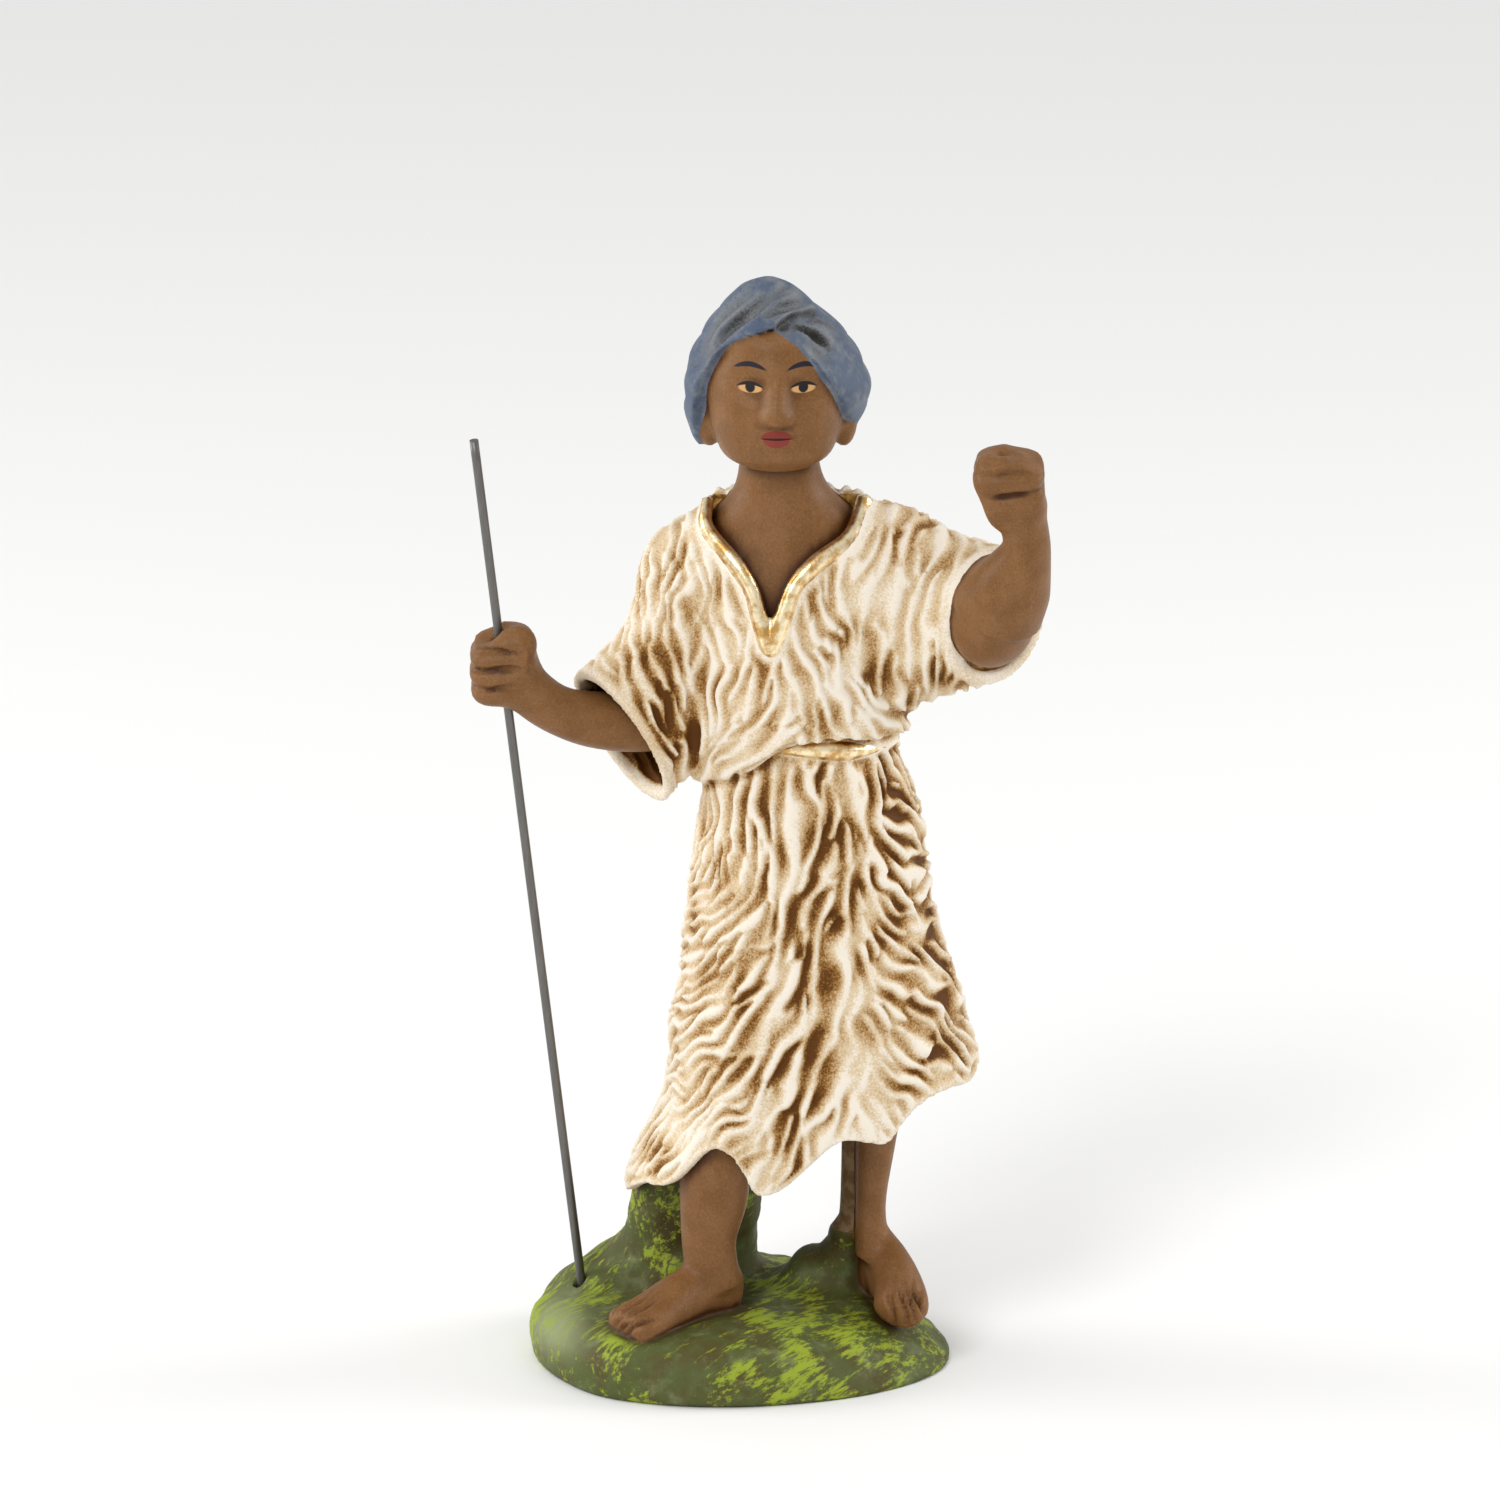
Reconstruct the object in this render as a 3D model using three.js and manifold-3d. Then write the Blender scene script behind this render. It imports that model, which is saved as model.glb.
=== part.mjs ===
// A painted nativity figure: a young animal driver in a belted fleece tunic and a turban, barefoot
// on a grassy mound, with one fist raised and a steel wire staff in the other.
// The figure is cast in one piece with its mound. The staff is loose in a hole in the fist and a
// socket in the ground.
import * as THREE from 'three';
import { mergeVertices } from 'three/addons/utils/BufferGeometryUtils.js';
import Module from 'manifold-3d';

// Driving dimensions, in millimetres
const FIGURE_HEIGHT = 118; // from the ground under the feet to the top of the turban
const BASE_WIDTH = 46.5;
const BASE_DEPTH = 42;
const BASE_HEIGHT = 7; // from the flat underside to the ground under the feet
const STAFF_DIAMETER = 1;
const STAFF_LENGTH = 106;
const STAFF_CLEARANCE = 0.3; // all round the staff, in the fist and in the socket
const SOCKET_DEPTH = 4; // how far the staff goes into the ground
const CUFF_WALL = 1.2;
const HEM_WALL = 1.3;
const TRIM_DIAMETER = 1.4; // the rolled edge of the neck opening

const wasm = await Module();
wasm.setup();

const { degToRad, lerp, smoothstep } = THREE.MathUtils;

// The pose is written in percent of the figure's height, from the middle of the ground: x to the
// viewer's right, y away from the viewer, z up.
const PERCENT = FIGURE_HEIGHT / 100;
const place = (x, y, z) => new THREE.Vector3(x, y, z).multiplyScalar(PERCENT)
  .add(new THREE.Vector3(0, 0, BASE_HEIGHT));

const UPRIGHT = new THREE.Vector3(0, 0, 1);
const INWARD = new THREE.Vector3(0, 1, 0);
const bump = (distance, spread) => Math.exp(-((distance / spread) ** 2));

// A smooth curve through the rows of a table, whose first column is the key.
function through(rows) {
  const keys = rows.map((row) => row[0]);
  const values = rows.flatMap((row) => row.slice(1));
  const curve = new THREE.CubicInterpolant(keys, values, rows[0].length - 1);
  return (key) => Array.from(curve.evaluate(key));
}

// A height for each compass angle, in degrees: 0 is the front and 90 the viewer's right.
function around(rows) {
  const turns = [-360, 0, 360];
  const wrapped = turns.flatMap((turn) => rows.map(([angle, height]) => [angle + turn, height]));
  const curve = through(wrapped);
  return (angle) => curve(angle)[0];
}

// Compass angles that are closer together at the front than at the back.
const FRONT_CROWDING = 1.25;
const anglesFor = (count) => Array.from({ length: count }, (_, i) => {
  const share = (i / count) * 2 - 1;
  return 180 * Math.sign(share) * Math.abs(share) ** FRONT_CROWDING;
});

// A closed skin over rings of points, with a fan at each end. The rings run anticlockwise as seen
// from the last one.
function skin(rings) {
  const count = rings[0].length;
  const points = rings.flat();
  const faces = [];
  for (let i = 0; i + 1 < rings.length; i++) {
    for (let j = 0; j < count; j++) {
      const a = i * count + j;
      const b = i * count + (j + 1) % count;
      faces.push(a, b, b + count, a, b + count, a + count);
    }
  }
  const closeEnd = (ring, start, outward) => {
    const middle = new THREE.Vector3();
    ring.forEach((point) => middle.add(point));
    const hub = points.push(middle.divideScalar(count)) - 1;
    for (let j = 0; j < count; j++) {
      const edge = [start + j, start + (j + 1) % count];
      faces.push(hub, ...(outward ? edge : edge.reverse()));
    }
  };
  closeEnd(rings[0], 0, false);
  closeEnd(rings[rings.length - 1], (rings.length - 1) * count, true);
  return new THREE.BufferGeometry().setFromPoints(points).setIndex(faces);
}

// A geometry as a solid that can be joined and cut.
function solid(geometry) {
  geometry.deleteAttribute('normal');
  geometry.deleteAttribute('uv');
  const merged = mergeVertices(geometry, 1e-4);
  return new wasm.Manifold(new wasm.Mesh({
    numProp: 3,
    vertProperties: merged.attributes.position.array,
    triVerts: new Uint32Array(merged.index.array),
  }));
}

// A solid back as a geometry, with flat facets.
function geometryOf(made) {
  const mesh = made.getMesh();
  const geometry = new THREE.BufferGeometry();
  geometry.setAttribute('position', new THREE.BufferAttribute(mesh.vertProperties, 3));
  geometry.setIndex(new THREE.BufferAttribute(mesh.triVerts, 1));
  const facets = geometry.toNonIndexed();
  facets.computeVertexNormals();
  return facets;
}

// A form that stands round an upright axis, between two edges whose heights change with the angle.
// sections gives the middle x and y, the half width and the half depth at a height. sway turns the
// columns as they rise. Rings listed in lining close the underside: each is a set back from the wall
// and a rise above the lower edge.
function mantle({ sections, lower, upper, rows, angles, relief, sway, lining = [] }) {
  const ringAt = (share, inset, rise) => angles.map((angle, column) => {
    const edge = lower(angle);
    const z = lerp(edge, upper, share);
    const turned = angle + (sway ? sway(angle, z) : 0);
    const out = (relief ? relief(column, z, share, turned) : 0) - inset;
    const [x, y, halfWidth, halfDepth] = sections(z);
    const turn = degToRad(turned);
    return place(
      x + (halfWidth + out) * Math.sin(turn),
      y - (halfDepth + out) * Math.cos(turn),
      z + rise,
    );
  });
  const rings = lining.map(([inset, rise]) => ringAt(0, inset, rise)).reverse();
  for (let i = 0; i <= rows; i++) {
    rings.push(ringAt(i / rows, 0, 0));
  }
  return solid(skin(rings));
}

// The front of such a form, straight ahead of a point.
function frontOf(sections, x, z) {
  const [middleX, middleY, halfWidth, halfDepth] = sections(z);
  const aside = Math.min(1, Math.abs(x - middleX) / halfWidth);
  return middleY - halfDepth * Math.sqrt(1 - aside * aside);
}

// A round or oval limb through rows of x, y, z, half width and half thickness. Its width lies at
// right angles to the reference direction. Its columns stand at the angles in turns.
const circle = (count) => Array.from({ length: count }, (_, i) => (i / count) * 2 * Math.PI);
function limb(rows, reference, turns, steps, dent = () => 0) {
  const curve = new THREE.CatmullRomCurve3(rows.map(([x, y, z]) => place(x, y, z)));
  const girth = through(rows.map(([, , , wide, thick], i) => [i / (rows.length - 1), wide, thick]));
  const rings = [];
  for (let i = 0; i <= steps; i++) {
    const share = i / steps;
    const along = curve.getTangent(share);
    const across = new THREE.Vector3().crossVectors(reference, along).normalize();
    const over = new THREE.Vector3().crossVectors(along, across);
    const [wide, thick] = girth(share);
    const middle = curve.getPoint(share);
    rings.push(turns.map((turn, column) => {
      const depth = dent(column, share);
      return middle.clone()
        .addScaledVector(across, Math.cos(turn) * (wide - depth) * PERCENT)
        .addScaledVector(over, Math.sin(turn) * (thick - depth) * PERCENT);
    }));
  }
  return solid(skin(rings));
}

// An egg of three half axes.
function egg([x, y, z], [rx, ry, rz], detail) {
  const geometry = new THREE.SphereGeometry(1, detail, Math.round(detail * 0.7));
  geometry.scale(rx * PERCENT, ry * PERCENT, rz * PERCENT);
  geometry.translate(...place(x, y, z).toArray());
  return solid(geometry);
}

// Fleece: every second column of a ring is a furrow between two strands, and it deepens and dies
// away along the strand, out of step with its neighbours.
const FURROW_DEPTH = 0.7;
const FURROW_LENGTH = 9;
function furrow(column, along) {
  if (column % 2 === 0) {
    return 0;
  }
  const swell = Math.sin(Math.PI * (along / FURROW_LENGTH + column * 0.31));
  return FURROW_DEPTH * (0.25 + 0.75 * swell * swell);
}
const strandSway = (angle, z) => 2.2 * Math.sin(0.21 * z + angle / 23);

// The skirt, which fans out from the belt to an uneven hem and swells over the front thigh
const SKIRT_TOP = 56;
const skirtSections = through([
  [8, 5.2, 0.4, 16.1, 11.4],
  [11.8, 5.3, 0.4, 16, 11.4],
  [15.7, 6.7, 0.3, 16, 11.3],
  [19.7, 7.7, 0.2, 15.05, 11],
  [23.5, 7.95, 0.1, 14.75, 10.6],
  [27.5, 7.5, 0, 14.2, 10.1],
  [31.4, 7.5, 0, 13.25, 9.6],
  [35.4, 6.85, 0, 12.35, 9.2],
  [43.2, 6.7, 0, 11.2, 8.4],
  [47, 6.75, 0, 10.7, 8],
  [50.5, 6.5, 0, 9.9, 7.6],
  [53, 6.05, 0, 9.25, 7.2],
  [56.5, 6, 0, 9, 6.8],
]);
const hem = around([
  [-180, 14], [-135, 12], [-90, 10.1], [-60, 12.5], [-43, 13.8], [-35, 17.2], [-28, 17],
  [-21, 15.2], [-14, 13], [-6, 13.6], [-1, 15.6], [6, 17.8], [10, 18.2], [19, 17.8], [27, 17.8],
  [31, 19.3], [37, 20.8], [51, 21.9], [72, 21.9], [90, 22.8], [135, 19],
]);
const THIGH = { angle: -38, spread: 27, height: 22, reach: 17, swell: 2.3 };
const HEM_POCKET = 3; // how far the underside is hollowed
const HEM_BAND = 0.05; // of the skirt's height, left plain
function skirt() {
  return mantle({
    sections: skirtSections,
    lower: hem,
    upper: SKIRT_TOP,
    rows: 11,
    angles: anglesFor(54),
    sway: (angle, z) => strandSway(angle, z) * smoothstep(z, 20, 30),
    relief: (column, z, share, angle) => {
      const thigh = THIGH.swell * bump(angle - THIGH.angle, THIGH.spread)
        * bump(z - THIGH.height, THIGH.reach);
      const plain = share < HEM_BAND || z > SKIRT_TOP - 3;
      return thigh - (plain ? 0 : furrow(column, z));
    },
    lining: [[HEM_WALL / PERCENT, 0], [1.5 * HEM_WALL / PERCENT, HEM_POCKET]],
  });
}

// The upper part of the tunic, which hangs over the belt
const COLLAR_HEIGHT = 78.7;
const COLLAR_BAND = 2.5; // left plain below the collar's edge
const bodiceSections = through([
  [50, 5.3, 0, 9.7, 7.8],
  [52, 5.4, 0, 9.9, 8.1],
  [54.5, 5.45, 0, 10.4, 8.8],
  [58, 5.5, 0, 10.7, 9],
  [63, 5.3, 0, 10.7, 8.7],
  [68, 4.7, 0, 11, 8.2],
  [72, 4.3, 0, 11.3, 7.4],
  [75, 4.2, 0, 10.4, 6.3],
  [77.4, 4.3, 0, 8.2, 5.1],
  [78.7, 4.4, 0, 7.3, 4.6],
]);
const blouseEdge = around([
  [-180, 55], [-115, 52.5], [-88, 50.6], [-66, 51.4], [-50, 52.2], [-25, 54], [-8, 56.2],
  [24, 56.8], [72, 55.9], [110, 55.8],
]);
function bodice() {
  return mantle({
    sections: bodiceSections,
    lower: blouseEdge,
    upper: COLLAR_HEIGHT,
    rows: 8,
    angles: anglesFor(44),
    sway: strandSway,
    relief: (column, z, share) => {
      const plain = share < 0.08 || z > COLLAR_HEIGHT - COLLAR_BAND;
      return plain ? 0 : -furrow(column, z);
    },
    lining: [[0.9, -0.2]],
  });
}

const BELT = { low: 54.4, high: 56.5 };
function belt() {
  return mantle({
    sections: through([
      [BELT.low, 5.8, 0, 9.3, 7.1],
      [55, 5.8, 0, 9.9, 7.8],
      [55.9, 5.8, 0, 9.9, 7.8],
      [BELT.high, 5.8, 0, 9.3, 7.1],
    ]),
    lower: () => BELT.low,
    upper: BELT.high,
    rows: 3,
    angles: anglesFor(20),
  });
}

// The neck opening, as x and z seen from the front, from one shoulder down to the V and up again
const NECKLINE = [
  [-3, 78.4], [-3, 76.3], [-0.4, 73.6], [1.2, 71.2], [2, 68.4], [2.9, 65.8],
  [3.9, 68.4], [5.1, 71.6], [7.2, 73.7], [10.4, 75.8], [11.8, 78.4],
];
const NECKLINE_BACK = 1; // the collar stands behind this depth
function neckOpening() {
  const aboveHead = 90;
  const outline = new THREE.Shape(NECKLINE.map(([x, z]) => new THREE.Vector2(x, z)));
  outline.lineTo(NECKLINE[NECKLINE.length - 1][0], aboveHead);
  outline.lineTo(NECKLINE[0][0], aboveHead);
  const geometry = new THREE.ExtrudeGeometry(outline, { depth: 20, bevelEnabled: false });
  geometry.rotateX(Math.PI / 2);
  geometry.translate(0, NECKLINE_BACK, 0);
  geometry.scale(PERCENT, PERCENT, PERCENT);
  geometry.translate(0, 0, BASE_HEIGHT);
  return solid(geometry);
}
function neckTrim() {
  const radius = TRIM_DIAMETER / 2 / PERCENT;
  const rows = NECKLINE.map(([x, z]) => [x, frontOf(bodiceSections, x, z), z, radius, radius]);
  return limb(rows, INWARD, circle(5), 18);
}

// Breast, neck and nape, set back inside the collar
const CHEST = { low: 62, high: 86 };
function chest() {
  return mantle({
    sections: through([
      [CHEST.low, 5, 0, 8.4, 7],
      [66, 4.6, 0, 8.6, 7.1],
      [70, 4.3, 0, 8.6, 6.6],
      [74, 4.2, 0, 8, 5.5],
      [77, 4.2, 0, 6.6, 4.7],
      [79, 4, 0, 4.7, 4.2],
      [81, 3.8, 0, 3.9, 3.9],
      [CHEST.high, 3.7, 0, 3.8, 3.9],
    ]),
    lower: () => CHEST.low,
    upper: CHEST.high,
    rows: 6,
    angles: anglesFor(14),
  });
}

// The head. Its face keeps the old rule of thirds, from hairline to brow, nose and chin, and of five
// eyes across.
const CHIN = 82.9;
const THIRD = 4.9;
const NOSE_BASE = CHIN + THIRD;
const BROW = NOSE_BASE + THIRD;
const MOUTH = NOSE_BASE - THIRD / 3;
const EYE_ASIDE = 2.5;
const HEAD = { low: 82.3, high: 97.2 };
const headSections = through([
  [HEAD.low, 3.5, -2.9, 3, 2.7],
  [83.2, 3.5, -2.7, 4.7, 4.2],
  [85, 3.5, -2.1, 5.8, 5.4],
  [87.5, 3.5, -1.3, 6.5, 6.4],
  [90, 3.5, -0.7, 6.8, 6.9],
  [93, 3.5, -0.2, 6.1, 6.7],
  [95.4, 3.4, 0, 5.2, 6],
  [HEAD.high, 3.2, 0.3, 2.2, 2.8],
]);
function faceRelief(angle, z) {
  if (Math.abs(angle) > 75) {
    return 0;
  }
  const across = 7 * Math.sin(degToRad(angle));
  const bridge = smoothstep(BROW - z, -0.4, THIRD);
  const nose = 1.7 * bridge * bump(across, 1.15) * bump(Math.max(0, NOSE_BASE - z), 0.5);
  const socket = 0.7 * bump(Math.abs(across) - EYE_ASIDE, 1.5) * bump(z - (BROW - 1.8), 1.2);
  const brow = 0.25 * bump(z - BROW, 0.9) * bump(across, 5);
  const lips = 0.45 * bump(across, 1.7) * (bump(z - MOUTH - 0.6, 0.55) + bump(z - MOUTH + 0.7, 0.6));
  const chin = 0.4 * bump(across, 2) * bump(z - CHIN - 1.1, 1);
  return nose + brow + lips + chin - socket;
}
function head() {
  return mantle({
    sections: headSections,
    lower: () => HEAD.low,
    upper: HEAD.high,
    rows: 12,
    angles: anglesFor(22),
    relief: (column, z, share, angle) => faceRelief(angle, z),
  });
}
function ears() {
  return [-6.3, 6.3].map((aside) => egg([3.5 + aside, -0.4, 86.1], [1.3, 1.8, 2.6], 8));
}

// The turban, wound so that its folds rise from both sides and cross over the brow
const TURBAN_TOP = 99.6;
const turbanSections = through([
  [82.6, 3.5, 1.6, 7.3, 6.4],
  [86.5, 3.3, 1, 8.5, 8.2],
  [88.5, 3.6, 0.8, 8.85, 8.9],
  [90.4, 3.55, 0.6, 8.7, 9],
  [92.4, 3.35, 0.5, 7.9, 8.7],
  [94.4, 3.2, 0.4, 6.8, 7.6],
  [96.4, 2.8, 0.2, 5.1, 6],
  [98, 2.65, 0, 3.45, 4.2],
  [99, 2.6, 0, 2.3, 2.6],
  [TURBAN_TOP, 2.7, 0, 1, 1.1],
]);
const turbanEdge = around([
  [-180, 83], [-110, 82.8], [-85, 83.6], [-66, 86], [-63, 89.3], [-60, 91.2], [-56, 92.5],
  [-50, 93.7], [-40, 94.7], [-26, 95.4], [-10, 95.9], [5, 96.1], [15, 95.3], [23, 94.4],
  [31, 93], [36, 91.6], [40, 90.3], [45, 88.8], [53, 87.4], [68, 86.2], [90, 85.4], [120, 84],
]);
const FOLD_PERIOD = 3.9;
const FOLD_SLOPE = 0.06; // percent of rise for each degree, on both sides towards the viewer's right
const FOLD_DEPTH = 0.2;
// The lower edge of the wrap from the viewer's left, which lies over the other
const WRAP_LIFT = 0.5;
const wrapEdge = around([[-180, 92], [0, 92], [9, 95.2], [19, 96.8], [45, 97.2], [85, 97.1], [150, 98]]);
function turban() {
  return mantle({
    sections: turbanSections,
    lower: turbanEdge,
    upper: TURBAN_TOP,
    rows: 9,
    angles: anglesFor(28),
    relief: (column, z, share, angle) => {
      const under = angle > 0 ? 1 - smoothstep(z - wrapEdge(angle), -0.3, 0.35) : 0;
      const run = z + FOLD_SLOPE * lerp(-angle, angle, under);
      const fade = 1 - smoothstep(z, 94, 99);
      return FOLD_DEPTH * fade * (Math.cos((2 * Math.PI * run) / FOLD_PERIOD) - 1)
        - WRAP_LIFT * under * smoothstep(z, 91, 94);
    },
    lining: [[1, 0]],
  });
}

// A sleeve through rows of a share of its length, the middle, the upper half axis and the side half
// axis. It is open at the cuff, with a wall and a pocket behind it, as a share of its length.
const SLEEVE_LENGTH = 14;
function sleeve(rows, pocket) {
  const columns = 24;
  const steps = 5;
  const course = through(rows);
  const ringAt = (share, inset, furrowed) => Array.from({ length: columns }, (_, j) => {
    const [x, y, z, ...axes] = course(share);
    const up = new THREE.Vector3(...axes.slice(0, 3));
    const side = new THREE.Vector3(...axes.slice(3));
    const turn = (j / columns) * 2 * Math.PI;
    const depth = inset + (furrowed ? furrow(j, share * SLEEVE_LENGTH) : 0);
    return place(x, y, z)
      .addScaledVector(up.clone().setLength(up.length() - depth), Math.cos(turn) * PERCENT)
      .addScaledVector(side.clone().setLength(side.length() - depth), Math.sin(turn) * PERCENT);
  });
  const rings = [];
  for (let i = 0; i <= steps; i++) {
    rings.push(ringAt(i / steps, 0, i < steps));
  }
  rings.push(ringAt(1, CUFF_WALL / PERCENT, false));
  rings.push(ringAt(1 - pocket, 1.6 * CUFF_WALL / PERCENT, false));
  return solid(skin(rings));
}
function sleeves() {
  return [
    sleeve([
      [0, 1.2, 0, 72.2, -5, 0, 5, 0, 6, 0],
      [0.33, -5, 0, 67.7, -3.75, 0, 6.1, 0, 5.7, 0],
      [0.67, -7.4, -1, 59.6, -3.45, 0, 6.65, -0.3, 5, -1.4],
      [1, -11.2, -3, 55.7, -4.4, 0, 6, -0.9, 4.2, -3.5],
    ], 0.25),
    sleeve([
      [0, 9, 0, 69.5, 1, 0, 9, 0, -7.4, 0],
      [0.35, 15, -0.3, 67.6, 0.4, 0, 10.1, -0.6, -7, 0],
      [0.7, 19.8, -2, 67.35, 0.2, 0, 7.85, -2.8, -5.7, 0],
      [1, 24.2, -5, 68.2, 0, 0, 6.6, -4.7, -3.9, 0],
    ], 0.07),
  ];
}

// Arms, which come out of the cuffs
const HOLDING_HAND = [-22.3, -6, 63.7];
const RAISED_HAND = [25.5, -12.5, 82.7];
function arms() {
  return [
    limb([
      [-3, 0.6, 57.6, 3.2, 3.3], [-9, -1.4, 56.9, 3.1, 3], [-13.5, -3.4, 57.5, 2.7, 2.7],
      [-17, -4.9, 58.85, 2.4, 2.35], [-19.6, -5.7, 60.85, 2.4, 2.35], [-21.4, -6, 63.2, 2.4, 2.4],
    ], UPRIGHT, circle(10), 5),
    egg([23.9, -6.3, 69.2], [4.2, 3.8, 5.2], 10),
    egg([23.6, -7.6, 68.2], [4, 4.1, 4.4], 10),
    limb([
      [24.5, -8.4, 69.6, 4.1, 4], [25.7, -9.8, 72.6, 3.65, 3.6], [26.9, -11.3, 76.6, 2.3, 2.5],
      [26.3, -12.1, 80.6, 2.3, 2.4],
    ], INWARD, circle(10), 5),
  ];
}

// A closed fist: a rounded block on the way through it from the little finger to the first, dented
// between the fingers on its knuckle side. knuckles is the angle of that side, in degrees, corner
// the angle at which its top slopes off, and taper how much wider it gets towards the first finger.
const FIST = { halfWidth: 3.1, halfDepth: 2.9, halfHeight: 3.9 };
const FINGER_DENT = 0.55;
const CORNER_FALL = 1.6;
// Rings of the fist, as shares of its half height. Some of them lie in the grooves.
const FINGER_GROOVES = [-0.46, -0.06, 0.37];
const FIST_RINGS = [-1, -0.95, -0.8, -0.46, -0.27, -0.06, 0.15, 0.37, 0.6, 0.82, 0.95, 1];
function fist(middle, way, knuckles, corner, taper) {
  const columns = 11;
  const along = way.clone().normalize();
  const across = new THREE.Vector3().crossVectors(INWARD, along).normalize();
  const over = new THREE.Vector3().crossVectors(along, across);
  const rings = [];
  for (const height of FIST_RINGS) {
    const roundness = Math.sqrt(1 - 0.9 * Math.abs(height) ** 5);
    const dent = FINGER_GROOVES.includes(height) ? FINGER_DENT : 0;
    rings.push(Array.from({ length: columns }, (_, j) => {
      const turn = (j / columns) * 2 * Math.PI;
      const finger = Math.max(0, Math.cos(turn - degToRad(knuckles)) + 0.35) / 1.35;
      const square = (Math.cos(turn) ** 4 + Math.sin(turn) ** 4) ** -0.25;
      const girth = roundness * square * (1 + taper * height);
      const wide = FIST.halfWidth * girth - dent * finger;
      const deep = FIST.halfDepth * girth - dent * finger;
      const slope = CORNER_FALL * Math.max(0, Math.cos(turn - degToRad(corner)));
      const rise = height * FIST.halfHeight - slope * Math.max(0, height) ** 2;
      return place(...middle)
        .addScaledVector(across, Math.cos(turn) * wide * PERCENT)
        .addScaledVector(over, Math.sin(turn) * deep * PERCENT)
        .addScaledVector(along, rise * PERCENT);
    }));
  }
  return solid(skin(rings));
}

// A bare foot through rows from the heel to the toe tips. Its toes part at shares of its half width,
// and side is 1 where the big toe is on the side of the first column, or -1 on the other side.
const TOE_GAPS = [1, 0.34, -0.04, -0.38, -0.7, -1];
const SOLE_COLUMNS = 4;
function foot(rows, side) {
  const across = TOE_GAPS.flatMap((gap, i) => (i ? [(gap + TOE_GAPS[i - 1]) / 2, gap] : [gap]));
  const upper = across.map((share) => Math.acos(side * share)).sort((a, b) => a - b);
  const under = circle(2 * (SOLE_COLUMNS + 1)).slice(SOLE_COLUMNS + 2);
  const dent = (column, share) => {
    const between = column % 2 === 0 && column > 0 && column < upper.length - 1;
    return between ? 0.6 * smoothstep(share, 0.65, 0.85) : 0;
  };
  return limb(rows, UPRIGHT, [...upper, ...under], 9, dent);
}
function legs() {
  return [
    limb([
      [-2.2, -5.7, 20, 3.3, 3.2], [-2.4, -5.9, 12, 3.3, 3.1], [-2.9, -6, 7, 2.6, 2.6],
      [-2.4, -5.6, 2.6, 2.5, 2.6],
    ], INWARD, circle(10), 4),
    foot([
      [-0.5, -4, 1, 1.5, 2.1], [-2, -5, 1.5, 2.3, 2.9], [-4.6, -7, 1.7, 2.4, 2.9],
      [-7.4, -9.4, 1, 2.9, 2.3], [-9.8, -11.4, 0.2, 3.1, 1.9], [-11.2, -12.6, -0.3, 2.5, 1.5],
    ], 1),
    limb([
      [13.5, -0.6, 22, 2.5, 2.7], [12.9, -0.9, 15, 1.9, 2.2], [12.45, -1.1, 9, 1.45, 1.8],
      [12.7, -1, 4, 1.7, 2.2],
    ], INWARD, circle(10), 4),
    foot([
      [12.6, 1, 1, 1.5, 2.2], [13.5, -0.6, 2.6, 1.8, 3.6], [14.5, -2.8, 2.2, 2.2, 3.3],
      [15.2, -5, 1.3, 2.5, 2.5], [15.6, -7, 0.5, 2.65, 1.9], [15.8, -8.4, 0, 2.2, 1.4],
    ], -1),
  ];
}

// The ground: an oval mound, with a stump behind the front leg and a strut behind the other
const MOUND_PROFILE = [ // share of the radius, share of the height
  [0.97, 0], [1, 0.08], [1, 0.3], [0.98, 0.55], [0.94, 0.74], [0.85, 0.89], [0.7, 0.98], [0.4, 1.02],
];
const moundReach = around([ // share of the radius at a compass angle
  [-180, 0.98], [-130, 0.99], [-90, 0.99], [-58, 1.025], [-38, 1.075], [-22, 1.06], [-3, 1.03],
  [18, 1.01], [41, 1.03], [69, 1.06], [85, 1.04], [120, 1.01],
]);
// How far the right side slopes in by the top, and the left side out, as shares of the radius
const SLOPE_RIGHT = 0.28;
const SLOPE_LEFT = 0.06;
function mound() {
  const columns = 32;
  const rings = MOUND_PROFILE.map(([share, height]) => (
    Array.from({ length: columns }, (_, j) => {
      const angle = (j / columns) * 360 - 180;
      const turn = degToRad(angle);
      const lean = Math.sin(turn) * (turn > 0 ? SLOPE_RIGHT : SLOPE_LEFT) * height;
      const reach = share * moundReach(angle) * (1 - lean);
      return new THREE.Vector3(
        (Math.sin(turn) * reach * BASE_WIDTH) / 2,
        (-Math.cos(turn) * reach * BASE_DEPTH) / 2,
        height * BASE_HEIGHT,
      );
    })
  ));
  return solid(skin(rings));
}
const STUMP = { low: -1.5, high: 13 };
function stump() {
  return mantle({
    sections: through([
      [STUMP.low, -6.8, 6, 11.4, 8.6], [0, -6.6, 5.9, 10.4, 7.9], [1.3, -6.4, 5.7, 8.8, 7.1],
      [2.6, -5.85, 5.2, 7.4, 6.4], [4.5, -4.85, 4.6, 6.4, 5.6], [8, -4.2, 3.4, 6.25, 4.7],
      [STUMP.high, -4.1, 2.6, 6.6, 4.6],
    ]),
    lower: () => STUMP.low,
    upper: STUMP.high,
    rows: 6,
    angles: anglesFor(18),
  });
}
function strut() {
  return limb([
    [9.6, 2.5, -1, 4.6, 4], [9.95, 2.3, 2, 3.2, 2.9], [10.25, 2, 3.6, 2.4, 2.3],
    [10.5, 1.6, 5.4, 1.65, 1.9], [10.8, 1.1, 8.5, 1.25, 1.7], [11, 0.8, 22, 1.2, 1.7],
  ], INWARD, circle(8), 7);
}

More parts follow.
